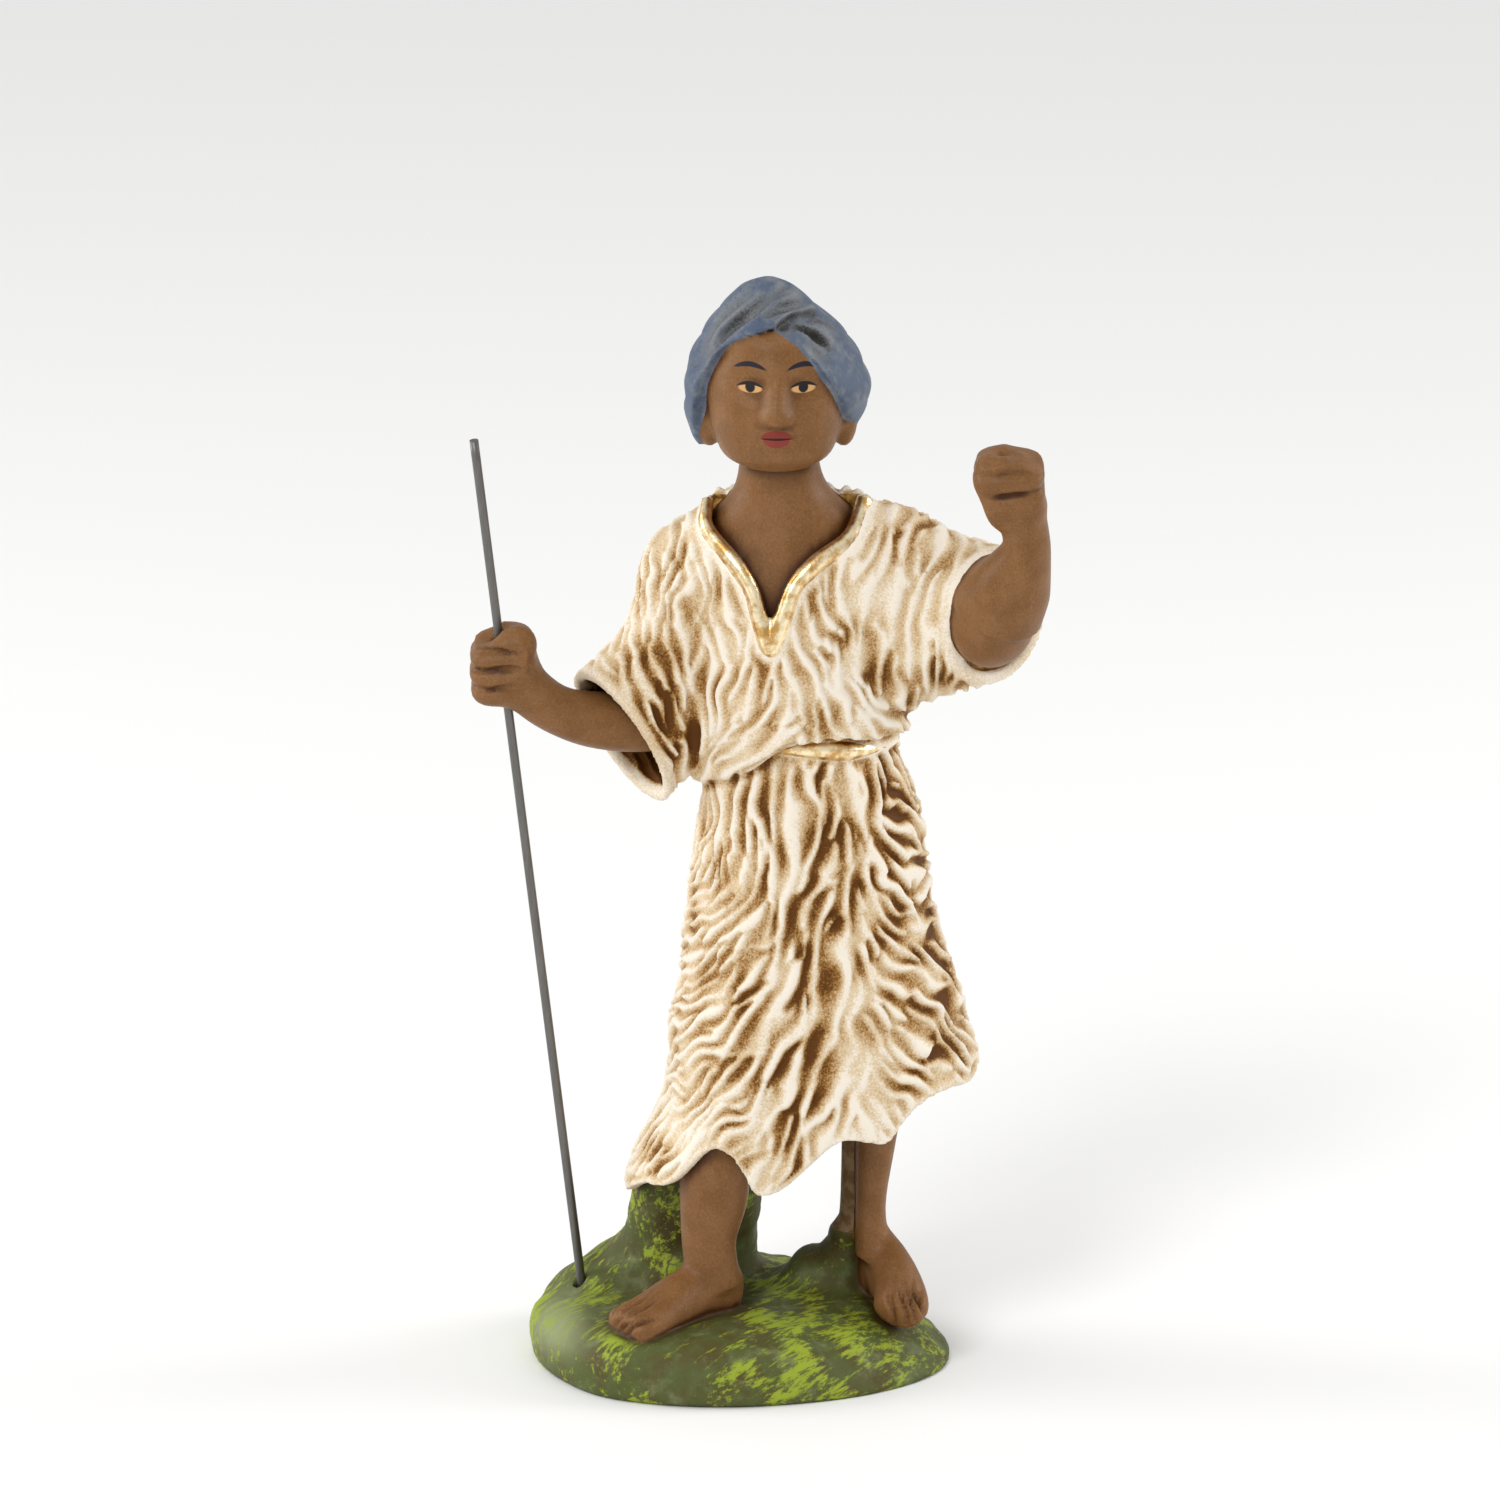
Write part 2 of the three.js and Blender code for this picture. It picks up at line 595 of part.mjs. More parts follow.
// The staff and the hole that it stands in, both on the line from the socket to the fist
const SOCKET = [-15.15, 2, 1.1];
const staffWay = place(...HOLDING_HAND).sub(place(...SOCKET)).normalize();
function rod(radius, from, to, sides) {
  const geometry = new THREE.CylinderGeometry(radius, radius, to - from, sides);
  geometry.rotateX(Math.PI / 2);
  geometry.translate(0, 0, (from + to) / 2);
  geometry.applyQuaternion(new THREE.Quaternion().setFromUnitVectors(UPRIGHT, staffWay));
  geometry.translate(...place(...SOCKET).toArray());
  return geometry;
}
function staffHole() {
  const radius = STAFF_DIAMETER / 2 + STAFF_CLEARANCE;
  return solid(rod(radius, -SOCKET_DEPTH - STAFF_CLEARANCE, STAFF_LENGTH, 10));
}

function hands() {
  const holdingWay = new THREE.Vector3(0.01, -0.13, 1);
  const raisedWay = new THREE.Vector3(-0.16, -0.2, 1);
  const thumbs = [
    egg([-20.6, -7.4, 66.2], [1.5, 1.4, 1.6], 8),
    egg([23.3, -13.6, 83.9], [1.4, 1.5, 2.3], 8),
  ];
  return [
    fist(HOLDING_HAND, holdingWay, 180, 180, 0),
    fist(RAISED_HAND, raisedWay, 200, 0, 0.16),
    ...thumbs,
  ];
}

function figure() {
  const tunic = wasm.Manifold.union([skirt(), bodice(), ...sleeves()]).subtract(neckOpening());
  return wasm.Manifold.union([
    tunic, neckTrim(), belt(), chest(), head(), ...ears(), turban(), ...arms(),
    ...hands(), ...legs(), mound(), stump(), strut(),
  ]).subtract(staffHole());
}

const paint = new THREE.MeshStandardMaterial({ color: 0xd8c6a0, roughness: 0.6, metalness: 0 });
const wire = new THREE.MeshStandardMaterial({ color: 0x5c5a5a, roughness: 0.45, metalness: 0.9 });

const model = new THREE.Group();
const figureMesh = new THREE.Mesh(geometryOf(figure()), paint);
figureMesh.name = 'figure';
const staffGeometry = rod(STAFF_DIAMETER / 2, -SOCKET_DEPTH, STAFF_LENGTH - SOCKET_DEPTH, 12);
const staffMesh = new THREE.Mesh(staffGeometry, wire);
staffMesh.name = 'staff';
model.add(figureMesh, staffMesh);

export default model;
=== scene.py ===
"""A painted nativity figure with a loose wire staff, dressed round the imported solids.

The figure is made again from the same sections as its solid, as one finely meshed skin. Fleece,
folds, toes and fingers are carved into that skin, and its colours follow the carving.
"""
import bpy
import math
import numpy as np
import openvdb
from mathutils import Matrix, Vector


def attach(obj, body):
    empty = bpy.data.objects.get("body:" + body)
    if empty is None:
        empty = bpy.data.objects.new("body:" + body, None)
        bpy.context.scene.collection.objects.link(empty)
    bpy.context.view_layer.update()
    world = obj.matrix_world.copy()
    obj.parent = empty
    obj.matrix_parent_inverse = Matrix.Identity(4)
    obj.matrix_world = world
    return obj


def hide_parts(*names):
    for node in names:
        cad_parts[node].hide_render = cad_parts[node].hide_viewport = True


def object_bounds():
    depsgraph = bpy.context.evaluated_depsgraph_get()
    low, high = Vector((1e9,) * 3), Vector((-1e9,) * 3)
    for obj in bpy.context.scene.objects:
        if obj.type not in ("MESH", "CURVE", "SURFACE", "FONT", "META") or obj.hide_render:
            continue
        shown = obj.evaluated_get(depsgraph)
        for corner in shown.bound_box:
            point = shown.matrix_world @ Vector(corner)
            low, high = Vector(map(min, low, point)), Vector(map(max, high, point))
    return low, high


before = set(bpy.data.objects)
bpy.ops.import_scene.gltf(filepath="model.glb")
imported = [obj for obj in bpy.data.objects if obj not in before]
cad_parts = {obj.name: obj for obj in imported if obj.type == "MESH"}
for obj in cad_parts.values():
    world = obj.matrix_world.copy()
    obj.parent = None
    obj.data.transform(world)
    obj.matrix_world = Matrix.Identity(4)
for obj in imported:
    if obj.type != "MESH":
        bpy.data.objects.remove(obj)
cad_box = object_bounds()

MM = 0.001
rng = np.random.default_rng(7)

# Camera: the photograph's viewing angle, from far away
VIEW_ELEVATION = math.radians(16)
VIEW_DISTANCE = 2.5
VIEW_WIDTH = 0.16725  # metres across the frame at the figure
VIEW_TARGET = Vector((0.00117, 0, 0.0702))

# The solid's own sizes, in millimetres
FIGURE_HEIGHT = 118
BASE_WIDTH = 46.5
BASE_DEPTH = 42
BASE_HEIGHT = 7
STAFF_RADIUS = 0.5
STAFF_LENGTH = 106
STAFF_CLEARANCE = 0.3
SOCKET_DEPTH = 4
CUFF_WALL = 1.2
HEM_WALL = 1.3
TRIM_RADIUS = 0.7

# Its pose and sections are in percent of the figure's height, from the top of the mound
PERCENT = FIGURE_HEIGHT / 100

# The grid that holds the forms, in millimetres
VOXEL = 0.34
BAND = 5  # voxels of distance kept on each side of a surface
LOW = np.array([-32.0, -23.0, -1.4])
HIGH = np.array([36.2, 22.6, 126.6])
SHAPE = tuple(np.ceil((HIGH - LOW) / VOXEL).astype(int))

BOX_INSET = 0.005  # how far the skin keeps inside the box of the solids
inner_box = np.array([list(corner) for corner in cad_box]) / MM + [[BOX_INSET], [-BOX_INSET]]


def place(points):
    """Points in percent, put in millimetres above the floor."""
    return np.asarray(points, float) * PERCENT + (0, 0, BASE_HEIGHT)


def in_percent(points):
    return (points - (0, 0, BASE_HEIGHT)) / PERCENT


def in_view(points):
    """Points in percent as the viewer sees them, across and up."""
    x, y, z = np.asarray(points).T
    return np.stack([x, z * math.cos(VIEW_ELEVATION) + y * math.sin(VIEW_ELEVATION)], 1)


def unit(vectors):
    """One vector, or a row each, brought to length 1."""
    size = np.linalg.norm(vectors) if vectors.ndim == 1 else np.linalg.norm(vectors, axis=1)[:, None]
    return vectors / np.maximum(size, 1e-9)


def round_angles(count):
    """Angles evenly round a circle, in radians."""
    return np.arange(count) / count * 2 * np.pi


def compass_angles(count):
    """Compass angles evenly round a form, in degrees: 0 is the front and 90 the viewer's right."""
    return np.arange(count) / count * 360 - 180


def bump(distance, spread):
    """1 where the distance is 0, falling off over the spread."""
    return np.exp(-((np.asarray(distance) / spread) ** 2))


def smoothstep(x, low, high):
    """0 below low and 1 above high, with a smooth way between."""
    t = np.clip((np.asarray(x, float) - low) / (high - low), 0, 1)
    return t * t * (3 - 2 * t)


def through(rows):
    """A smooth curve through the rows of a table, whose first column is the key."""
    table = np.array(rows, float)
    keys, values = table[:, 0], table[:, 1:]

    def curve(at):
        at = np.clip(np.atleast_1d(np.asarray(at, float)), keys[0], keys[-1])
        i = np.clip(np.searchsorted(keys, at, side="right"), 1, len(keys) - 1)
        t0, t1 = keys[i - 1], keys[i]
        before, after = np.maximum(i - 2, 0), np.minimum(i + 1, len(keys) - 1)
        first, last = i == 1, i == len(keys) - 1
        t_before = np.where(first, t1, keys[before])
        t_after = np.where(last, t0, keys[after])
        v_before = values[np.where(first, i, before)]
        v_after = values[np.where(last, i - 1, after)]
        half = (t1 - t0) / 2
        w0, w1 = half / (t0 - t_before), half / (t_after - t1)
        p = (at - t0) / (t1 - t0)
        s_before = -w0 * p**3 + 2 * w0 * p**2 - w0 * p
        s0 = (1 + w0) * p**3 - (1.5 + 2 * w0) * p**2 - (0.5 - w0) * p + 1
        s1 = -(1 + w1) * p**3 + (1.5 + w1) * p**2 + 0.5 * p
        s_after = w1 * p**3 - w1 * p**2
        return (s_before[:, None] * v_before + s0[:, None] * values[i - 1]
                + s1[:, None] * values[i] + s_after[:, None] * v_after)

    return curve


def traced(rows, count):
    """That many places along a smooth curve through the rows."""
    return through([[i, *row] for i, row in enumerate(rows)])(np.linspace(0, len(rows) - 1, count))


def around(rows):
    """A height for each compass angle, through the rows of a table."""
    wrapped = [[a + turn, h] for turn in (-360, 0, 360) for a, h in rows]
    curve = through(wrapped)
    return lambda angle: curve(angle)[:, 0]


# Solids as distance fields: negative inside, in millimetres

def ring_quads(rows, count):
    """The faces of a skin made of rows of rings, with that many points each."""
    index = np.arange(rows * count).reshape(rows, count)
    beside = np.roll(index, -1, axis=1)
    return np.stack([index[:-1], beside[:-1], beside[1:], index[1:]], 2).reshape(-1, 4)


def skin(rings):
    """The field of a skin through rings, closed at its ends.

    The rings run anticlockwise as seen from the last one.
    """
    rings = np.asarray(rings, float)
    rows, count = rings.shape[:2]
    points = np.vstack([rings.reshape(-1, 3), rings[0].mean(0), rings[-1].mean(0)])
    here = np.arange(count)
    beside = np.roll(here, -1)
    start, last = np.full(count, rows * count), (rows - 1) * count
    fans = np.stack([start, beside, here, start + 1, last + here, last + beside], 1).reshape(-1, 3)
    grid = openvdb.FloatGrid.createLevelSetFromPolygons(
        np.ascontiguousarray((points - LOW) / VOXEL, dtype=np.float32),
        triangles=fans.astype(np.uint32), quads=ring_quads(rows, count).astype(np.uint32),
        transform=openvdb.createLinearTransform(voxelSize=1.0), halfWidth=float(BAND))
    out = np.full(SHAPE, BAND, np.float32)
    grid.copyToArray(out)
    return out * VOXEL


def join(a, b, blend):
    """The union of two fields, with a fillet about as wide as blend."""
    if blend <= 0:
        return np.minimum(a, b)
    overlap = np.maximum(blend - np.abs(a - b), 0) / blend
    return np.minimum(a, b) - overlap * overlap * blend / 4


def join_all(fields, blend):
    out = fields[0]
    for other in fields[1:]:
        out = join(out, other, blend)
    return out


def blurred(a, spread):
    """A field smoothed twice along each axis, by a box blur of about that spread in millimetres."""
    reach = max(1, int(round(spread / VOXEL)))
    for axis in (0, 1, 2) * 2:
        padded = np.concatenate([np.take(a, [0] * (reach + 1), axis), a,
                                 np.take(a, [-1] * reach, axis)], axis)
        total = np.cumsum(padded, axis, dtype=np.float64)
        starts = np.arange(a.shape[axis])
        sums = np.take(total, starts + 2 * reach + 1, axis) - np.take(total, starts, axis)
        a = (sums / (2 * reach + 1)).astype(np.float32)
    return a


def sampled(a, points):
    """A field's values at points, between its cells."""
    p = np.clip((points - LOW) / VOXEL, 0, np.array(SHAPE) - 1.001)
    cell = p.astype(int)
    out = 0
    for corner in np.ndindex(2, 2, 2):
        share = np.prod(np.abs(1 - np.array(corner) - (p - cell)), axis=1)
        out = out + share * a[tuple((cell + corner).T)]
    return out


# Forms, as in the solid

FINE = 144  # columns round a form


def mantle(sections, lower, upper, rows=70, relief=None, lining=(), columns=FINE):
    """A form that stands round an upright axis, between two edges whose heights change with the angle.

    Its lining lists the rings inside its lower edge, each with its inset and its rise.
    """
    angles = compass_angles(columns)
    turn = np.radians(angles)
    edge = lower(angles)

    def ring(share, inset, rise):
        z = edge + (upper - edge) * share
        x, y, wide, deep = sections(z).T
        out = (relief(angles, z) if relief else 0) - inset
        return place(np.stack([x + (wide + out) * np.sin(turn),
                               y - (deep + out) * np.cos(turn), z + rise], 1))

    rings = [ring(0, inset, rise) for inset, rise in reversed(lining)]
    rings += [ring(i / rows, 0, 0) for i in range(rows + 1)]
    return skin(rings)


def level(height):
    return lambda angle: np.full(np.shape(angle), float(height))


def tube(rows, reference, columns=40, steps=40, dent=None, rounded=0):
    """A limb through rows of x, y, z, half width and half thickness.

    dent gives how deep each ring is dented, and rounded is the share of the limb that closes in at
    its end.
    """
    n = len(rows) - 1
    course = through([[i / n, *row] for i, row in enumerate(rows)])
    shares = np.linspace(0, 1, steps + 1)
    at = course(shares)
    middle, girth = place(at[:, :3]), at[:, 3:]
    along = unit(np.gradient(middle, axis=0))
    across = unit(np.cross(reference, along))
    over = np.cross(along, across)
    turns = round_angles(columns)
    rings = []
    for i, share in enumerate(shares):
        depth = dent(turns, share) if dent else 0
        close = 1
        if rounded and share > 1 - rounded:
            close = math.sqrt(max(0.02, 1 - ((share - 1 + rounded) / rounded) ** 2))
        wide = ((girth[i, 0] - depth) * close * PERCENT * np.cos(turns))[:, None]
        thick = ((girth[i, 1] - depth) * close * PERCENT * np.sin(turns))[:, None]
        rings.append(middle[i] + across[i] * wide + over[i] * thick)
    return skin(rings)


def egg(middle, radii, columns=40, rows=24):
    """An egg of three half axes."""
    turns = round_angles(columns)
    rings = []
    for tilt in np.linspace(-0.49, 0.49, rows) * np.pi:
        r = math.cos(tilt)
        ring = np.stack([np.cos(turns) * r * radii[0], np.sin(turns) * r * radii[1],
                         np.full(columns, math.sin(tilt) * radii[2])], 1)
        rings.append(place(ring + middle))
    return skin(rings)


# Directions that a limb's width is square to
UPRIGHT = np.array([0.0, 0, 1])
INWARD = np.array([0.0, 1, 0])

# Tables of sections: height, middle across, middle from front to back, half width, half depth

SKIRT_TOP = 56
skirt_sections = through([
    [8, 5.2, 0.4, 16.1, 11.4], [11.8, 5.3, 0.4, 16, 11.4], [15.7, 6.7, 0.3, 16, 11.3],
    [19.7, 7.7, 0.2, 15.05, 11], [23.5, 7.95, 0.1, 14.75, 10.6], [27.5, 7.5, 0, 14.2, 10.1],
    [31.4, 7.5, 0, 13.25, 9.6], [35.4, 6.85, 0, 12.35, 9.2], [43.2, 6.7, 0, 11.2, 8.4],
    [47, 6.75, 0, 10.7, 8], [50.5, 6.5, 0, 9.9, 7.6], [53, 6.05, 0, 9.25, 7.2], [56.5, 6, 0, 9, 6.8],
])
hem = around([
    [-180, 14], [-135, 12], [-90, 10.1], [-60, 12.5], [-43, 13.8], [-35, 17.2], [-28, 17],
    [-21, 15.2], [-14, 13], [-6, 13.6], [-1, 15.6], [6, 17.8], [10, 18.2], [19, 17.8], [27, 17.8],
    [31, 19.3], [37, 20.8], [51, 21.9], [72, 21.9], [90, 22.8], [135, 19],
])


def skirt(hollow=True):
    def thigh(angle, z):
        return 2.3 * bump(angle + 38, 27) * bump(z - 22, 17)

    wall = HEM_WALL / PERCENT
    lining = [(wall, 0), (1.5 * wall, 3)] if hollow else []
    return mantle(skirt_sections, hem, SKIRT_TOP, relief=thigh, lining=lining)


COLLAR_HEIGHT = 78.7
bodice_sections = through([
    [50, 5.3, 0, 9.7, 7.8], [52, 5.4, 0, 9.9, 8.1], [54.5, 5.45, 0, 10.4, 8.8],
    [58, 5.5, 0, 10.7, 9], [63, 5.3, 0, 10.7, 8.7], [68, 4.7, 0, 11, 8.2], [72, 4.3, 0, 11.3, 7.4],
    [75, 4.2, 0, 10.4, 6.3], [77.4, 4.3, 0, 8.2, 5.1], [78.7, 4.4, 0, 7.3, 4.6],
])
blouse_edge = around([
    [-180, 55], [-115, 52.5], [-88, 50.6], [-66, 51.4], [-50, 52.2], [-25, 54], [-8, 56.2],
    [24, 56.8], [72, 55.9], [110, 55.8],
])


def bodice():
    return mantle(bodice_sections, blouse_edge, COLLAR_HEIGHT, rows=50, lining=[(0.9, -0.2)])


belt_low = around([
    [-180, 54.6], [-30, 54.9], [-9, 55.15], [8, 54.75], [28, 54.4], [41, 54.55], [53, 54.7],
    [75, 54.8], [120, 54.6],
])
belt_high = around([
    [-180, 55.6], [-30, 55.5], [-9, 55.8], [8, 56.4], [28, 56.1], [41, 55.5], [53, 55.1],
    [75, 55.1], [120, 55.6],
])


def belt():
    def roll(angle, z):
        low, high = belt_low(angle), belt_high(angle)
        half = (high - low) / 2
        across = (z - (low + high) / 2) / half
        return 0.9 * np.minimum(half, 1) * np.sqrt(np.maximum(0, 1 - across * across))

    sections = through([[54, 5.8, 0, 9.15, 7], [57, 5.8, 0, 9.15, 7]])
    return mantle(sections, belt_low, belt_high(compass_angles(FINE)), rows=14, relief=roll)


# The neck opening's edge as it shows from the front: x and height
NECKLINE = [
    [-3, 78.4], [-3, 76.3], [-0.4, 73.6], [1.2, 71.2], [2, 68.4], [2.9, 65.8],
    [3.9, 68.4], [5.1, 71.6], [7.2, 73.7], [10.4, 75.8], [11.8, 78.4],
]


def front_of(sections, x, z):
    x0, y0, wide, deep = sections(z)[0]
    aside = min(1, abs(x - x0) / wide)
    return y0 - deep * math.sqrt(1 - aside * aside)


def neck_opening():
    """The space cut out of the tunic inside the neckline, from in front of it to its middle."""
    left, right = NECKLINE[0][0], NECKLINE[-1][0]
    outline = NECKLINE + [[right, 90], [left, 90]]
    outline = [p for a, b in zip(outline, outline[1:] + outline[:1])
               for p in np.linspace(a, b, 6)[:-1]]
    return skin([place([[x, y, z] for x, z in outline]) for y in np.linspace(1, -19, 8)])


TRIM = TRIM_RADIUS / PERCENT
TRIM_SWELL = [1, 1.15, 1.3, 1.2, 1.35, 1.25, 1.4, 1.3, 1.45, 1.3, 1.35]
neck_rows = [[x, front_of(bodice_sections, x, z), z, TRIM * swell, TRIM * swell]
             for (x, z), swell in zip(NECKLINE, TRIM_SWELL)]


def neck_trim():
    return tube(neck_rows, INWARD, columns=20, steps=90)


def chest():
    sections = through([
        [62, 5, 0, 8.4, 7], [66, 4.6, 0, 8.6, 7.1], [70, 4.3, 0, 8.6, 6.6], [74, 4.2, 0, 8, 5.5],
        [77, 4.2, 0, 6.6, 4.7], [79, 4, 0, 4.7, 4.2], [81, 3.8, 0, 3.9, 3.9], [86, 3.7, 0, 3.8, 3.9],
    ])
    return mantle(sections, level(62), 86, rows=40)


# The head. Its face keeps the old rule of thirds, from hairline to brow, nose and chin, and of five
# eyes across.
FACE_MIDDLE = 3.5
CHIN = 82.9
THIRD = 4.9
NOSE_BASE = CHIN + THIRD
BROW = NOSE_BASE + THIRD
MOUTH = NOSE_BASE - THIRD / 3
EYE_ASIDE = 2.5
EYE_HEIGHT = BROW - 1.9
head_sections = through([
    [82.3, 3.5, -2.9, 3, 2.7], [83.2, 3.5, -2.7, 4.7, 4.2], [85, 3.5, -2.1, 5.8, 5.4],
    [87.5, 3.5, -1.3, 6.5, 6.4], [90, 3.5, -0.7, 6.8, 6.9], [93, 3.5, -0.2, 6.1, 6.7],
    [95.4, 3.4, 0, 5.2, 6], [97.2, 3.2, 0.3, 2.2, 2.8],
])


def face_relief(angle, z):
    across = 7 * np.sin(np.radians(angle))
    front = np.abs(angle) < 75
    bridge = smoothstep(BROW - z, -0.4, THIRD)
    below = np.maximum(0, NOSE_BASE - z)
    nose = 1.6 * bridge * bump(across, 1.0) * bump(below, 0.45)
    wings = 0.55 * bump(np.abs(across) - 1.05, 0.5) * bump(z - NOSE_BASE - 0.45, 0.6)
    socket = 0.75 * bump(np.abs(across) - EYE_ASIDE, 1.5) * bump(z - EYE_HEIGHT, 1.15)
    ball = 0.4 * bump(np.abs(across) - EYE_ASIDE, 0.95) * bump(z - EYE_HEIGHT, 0.6)
    brow = 0.25 * bump(z - BROW, 0.9) * bump(across, 5)
    upper = 0.42 * bump(across, 1.5) * bump(z - MOUTH - 0.45, 0.42)
    lower = 0.48 * bump(across, 1.35) * bump(z - MOUTH + 0.5, 0.48)
    corner = 0.12 * bump(np.abs(across) - 1.9, 0.5) * bump(z - MOUTH, 0.5)
    chin = 0.4 * bump(across, 2) * bump(z - CHIN - 1.1, 1)
    cheek = 0.25 * bump(np.abs(across) - 3.9, 1.6) * bump(z - NOSE_BASE - 0.6, 1.8)
    return front * (nose + wings + ball + brow + upper + lower + chin + cheek - socket - corner)


def head():
    return mantle(head_sections, level(82.3), 97.2, rows=110, relief=face_relief)


def ears():
    return np.minimum(*(egg([FACE_MIDDLE + aside, -0.4, 86.1], [1.3, 1.8, 2.6])
                        for aside in (-6.3, 6.3)))


TURBAN_TOP = 99.6
turban_sections = through([
    [82.6, 3.5, 1.6, 7.3, 6.4], [86.5, 3.3, 1, 8.5, 8.2], [88.5, 3.6, 0.8, 8.85, 8.9],
    [90.4, 3.55, 0.6, 8.7, 9], [92.4, 3.35, 0.5, 7.9, 8.7], [94.4, 3.2, 0.4, 6.8, 7.6],
    [96.4, 2.8, 0.2, 5.1, 6], [98, 2.65, 0, 3.45, 4.2], [99, 2.6, 0, 2.3, 2.6],
    [TURBAN_TOP, 2.7, 0, 1, 1.1],
])
turban_edge = around([
    [-180, 83], [-110, 82.8], [-85, 83.6], [-66, 86], [-63, 89.3], [-60, 91.2], [-56, 92.5],
    [-50, 93.7], [-40, 94.7], [-26, 95.4], [-10, 95.9], [5, 96.1], [15, 95.3], [23, 94.4],
    [31, 93], [36, 91.6], [40, 90.3], [45, 88.8], [53, 87.4], [68, 86.2], [90, 85.4], [120, 84],
])
# The turban's folds as the viewer sees them: points across and up, then each fold's half width and
# depth, and how dark the painted shade is along it
GROOVES = [
    ([[-3.85, 86.7], [-3.26, 88.6], [-2.55, 89.6], [-1.72, 90.5], [-0.54, 91.5], [0.76, 92.35],
      [1.94, 93.2], [3.12, 94.1], [4.54, 94.7]], 0.45, 0.8, 0.5),
    ([[-2.3, 89.9], [-1, 91.5], [0.2, 92.7], [1.4, 93.6], [2.6, 94.3]], 0.55, 0.6, 0.62),
    ([[-4.32, 87.4], [-3.6, 89.5], [-2.8, 91.2], [-1.8, 92.4], [-0.6, 93.45], [0.5, 94.25],
      [1.94, 95.1]], 0.42, 0.7, 0.45),
    ([[-4.9, 87.9], [-4.3, 90], [-3.4, 91.9], [-2.3, 93.3], [-1, 94.5]], 0.4, 0.55, 0.4),
    ([[1.94, 92.1], [2.9, 92.5], [3.8, 92.9], [5, 93.2], [6.8, 93.5]], 0.38, 0.7, 0.5),
    ([[3.3, 93.3], [4.8, 93.65], [6.3, 93.9]], 0.4, 0.4, 0.6),
    ([[2.9, 94.4], [4.2, 95], [5.2, 95.2]], 0.4, 0.35, 0.4),
    ([[5.3, 91.9], [6.6, 90.95], [7.7, 90.15], [8.9, 89.2]], 0.5, 1.05, 1),
    ([[6.66, 92.35], [7.4, 92.1], [8.3, 91.5], [9.5, 90.2]], 0.45, 0.55, 0.45),
    ([[3.6, 91.1], [4.5, 91.6], [5.6, 92.1]], 0.5, 0.35, 0.7),
    ([[6, 90], [7.4, 89], [8.8, 87.8]], 0.6, 0.35, 0.4),
]
DEEPEST = 1.1  # the deepest that a fold goes, in percent
FOLDED = 0.5  # share of a fold that the turban's sections have, beside what is carved into its skin
WRAP_LIFT = 0.7  # how far the left wrap lies over the right one
LAP = [[3, 90.8], [3.7, 91.4], [4.4, 92], [5, 92.45], [5.7, 92.75], [6.8, 92.95], [7.7, 92.95]]
lap_height = through(LAP)

# On the back: plain wraps, with their depth, how far apart they are, and their rise for each degree
BACK_DEPTH, BACK_PITCH, BACK_SLOPE = 0.3, 2.6, 0.04

DEGREE = 0.15  # percent of the height along the turban's girth
edge_angles = np.arange(-180, 181, 3.0)
edge_line = np.stack([edge_angles * DEGREE, turban_edge(edge_angles)], 1)


def groove_distance(seen, line):
    """How far seen points are from a line, and how strong it is there, from 0 at its ends to 1."""
    path = traced(line, 40)
    apart = np.linalg.norm(seen[:, None] - path[None], axis=2)
    share = np.argmin(apart, 1) / (len(path) - 1)
    return np.min(apart, 1), 0.1 + 0.9 * np.sqrt(np.sin(math.pi * share))


def facing_viewer(turn):
    """1 on the front of the head and 0 behind, by the angle round it."""
    return smoothstep(np.cos(turn), -0.1, 0.25)


def wrapped(seen, front):
    """The turban's folds at seen points: their depth in percent, their painted shade, and their wear and
    painted highlight.
    """
    depth, fold_shade, wear_and_highlight = np.zeros((3, len(seen)))
    for line, half, deep, shade in GROOVES:
        apart, strong = groove_distance(seen, line)
        depth += deep * strong * bump(apart, half)
        fold_shade = np.maximum(fold_shade, shade * strong * bump(apart, 0.85 * half))
        wear_and_highlight = np.maximum(wear_and_highlight, min(1, shade + 0.2) * strong * bump(apart, half + 0.35))
    below = lap_height(seen[:, 0])[:, 0] - seen[:, 1]
    right = smoothstep(seen[:, 0], 2.8, 3.8)
    depth += WRAP_LIFT * right * smoothstep(below, -0.2, 0.3) * (1 - 0.7 * smoothstep(below, 0.4, 2.5))
    # Painted shade just under the edge where the left wrap lies over the right one, and a lighter band
    # along that edge as painted highlight
    fold_shade = np.maximum(fold_shade, 0.65 * right * bump(below - 0.3, 0.3))
    wear_and_highlight = np.maximum(wear_and_highlight, 0.7 * right * bump(below, 0.8))
    return np.minimum(depth, DEEPEST) * front, fold_shade * front, wear_and_highlight * front


def folds(angle, z):
    x, y, wide, deep = turban_sections(z).T
    turn = np.radians(angle)
    seen = in_view(np.stack([x + wide * np.sin(turn), y - deep * np.cos(turn), z], 1))
    front = facing_viewer(turn)
    depth, _, _ = wrapped(seen, front)
    wave = 2 * math.pi * (z - BACK_SLOPE * np.abs(angle)) / BACK_PITCH
    behind = (1 - front) * BACK_DEPTH * (1 - np.cos(wave)) / 2
    at = np.stack([angle * DEGREE, z], 1)
    from_edge = np.min(np.linalg.norm(at[:, None] - edge_line[None], axis=2), 1)
    swell = 0.05 * np.sin(angle / 11 + z)
    return (swell - FOLDED * depth - behind * (1 - smoothstep(z, 97.5, 99.4))
            - 0.2 * bump(from_edge, 0.3))


def turban():
    return mantle(turban_sections, turban_edge, TURBAN_TOP, rows=110, relief=folds, lining=[(1, 0)],
                  columns=2 * FINE)


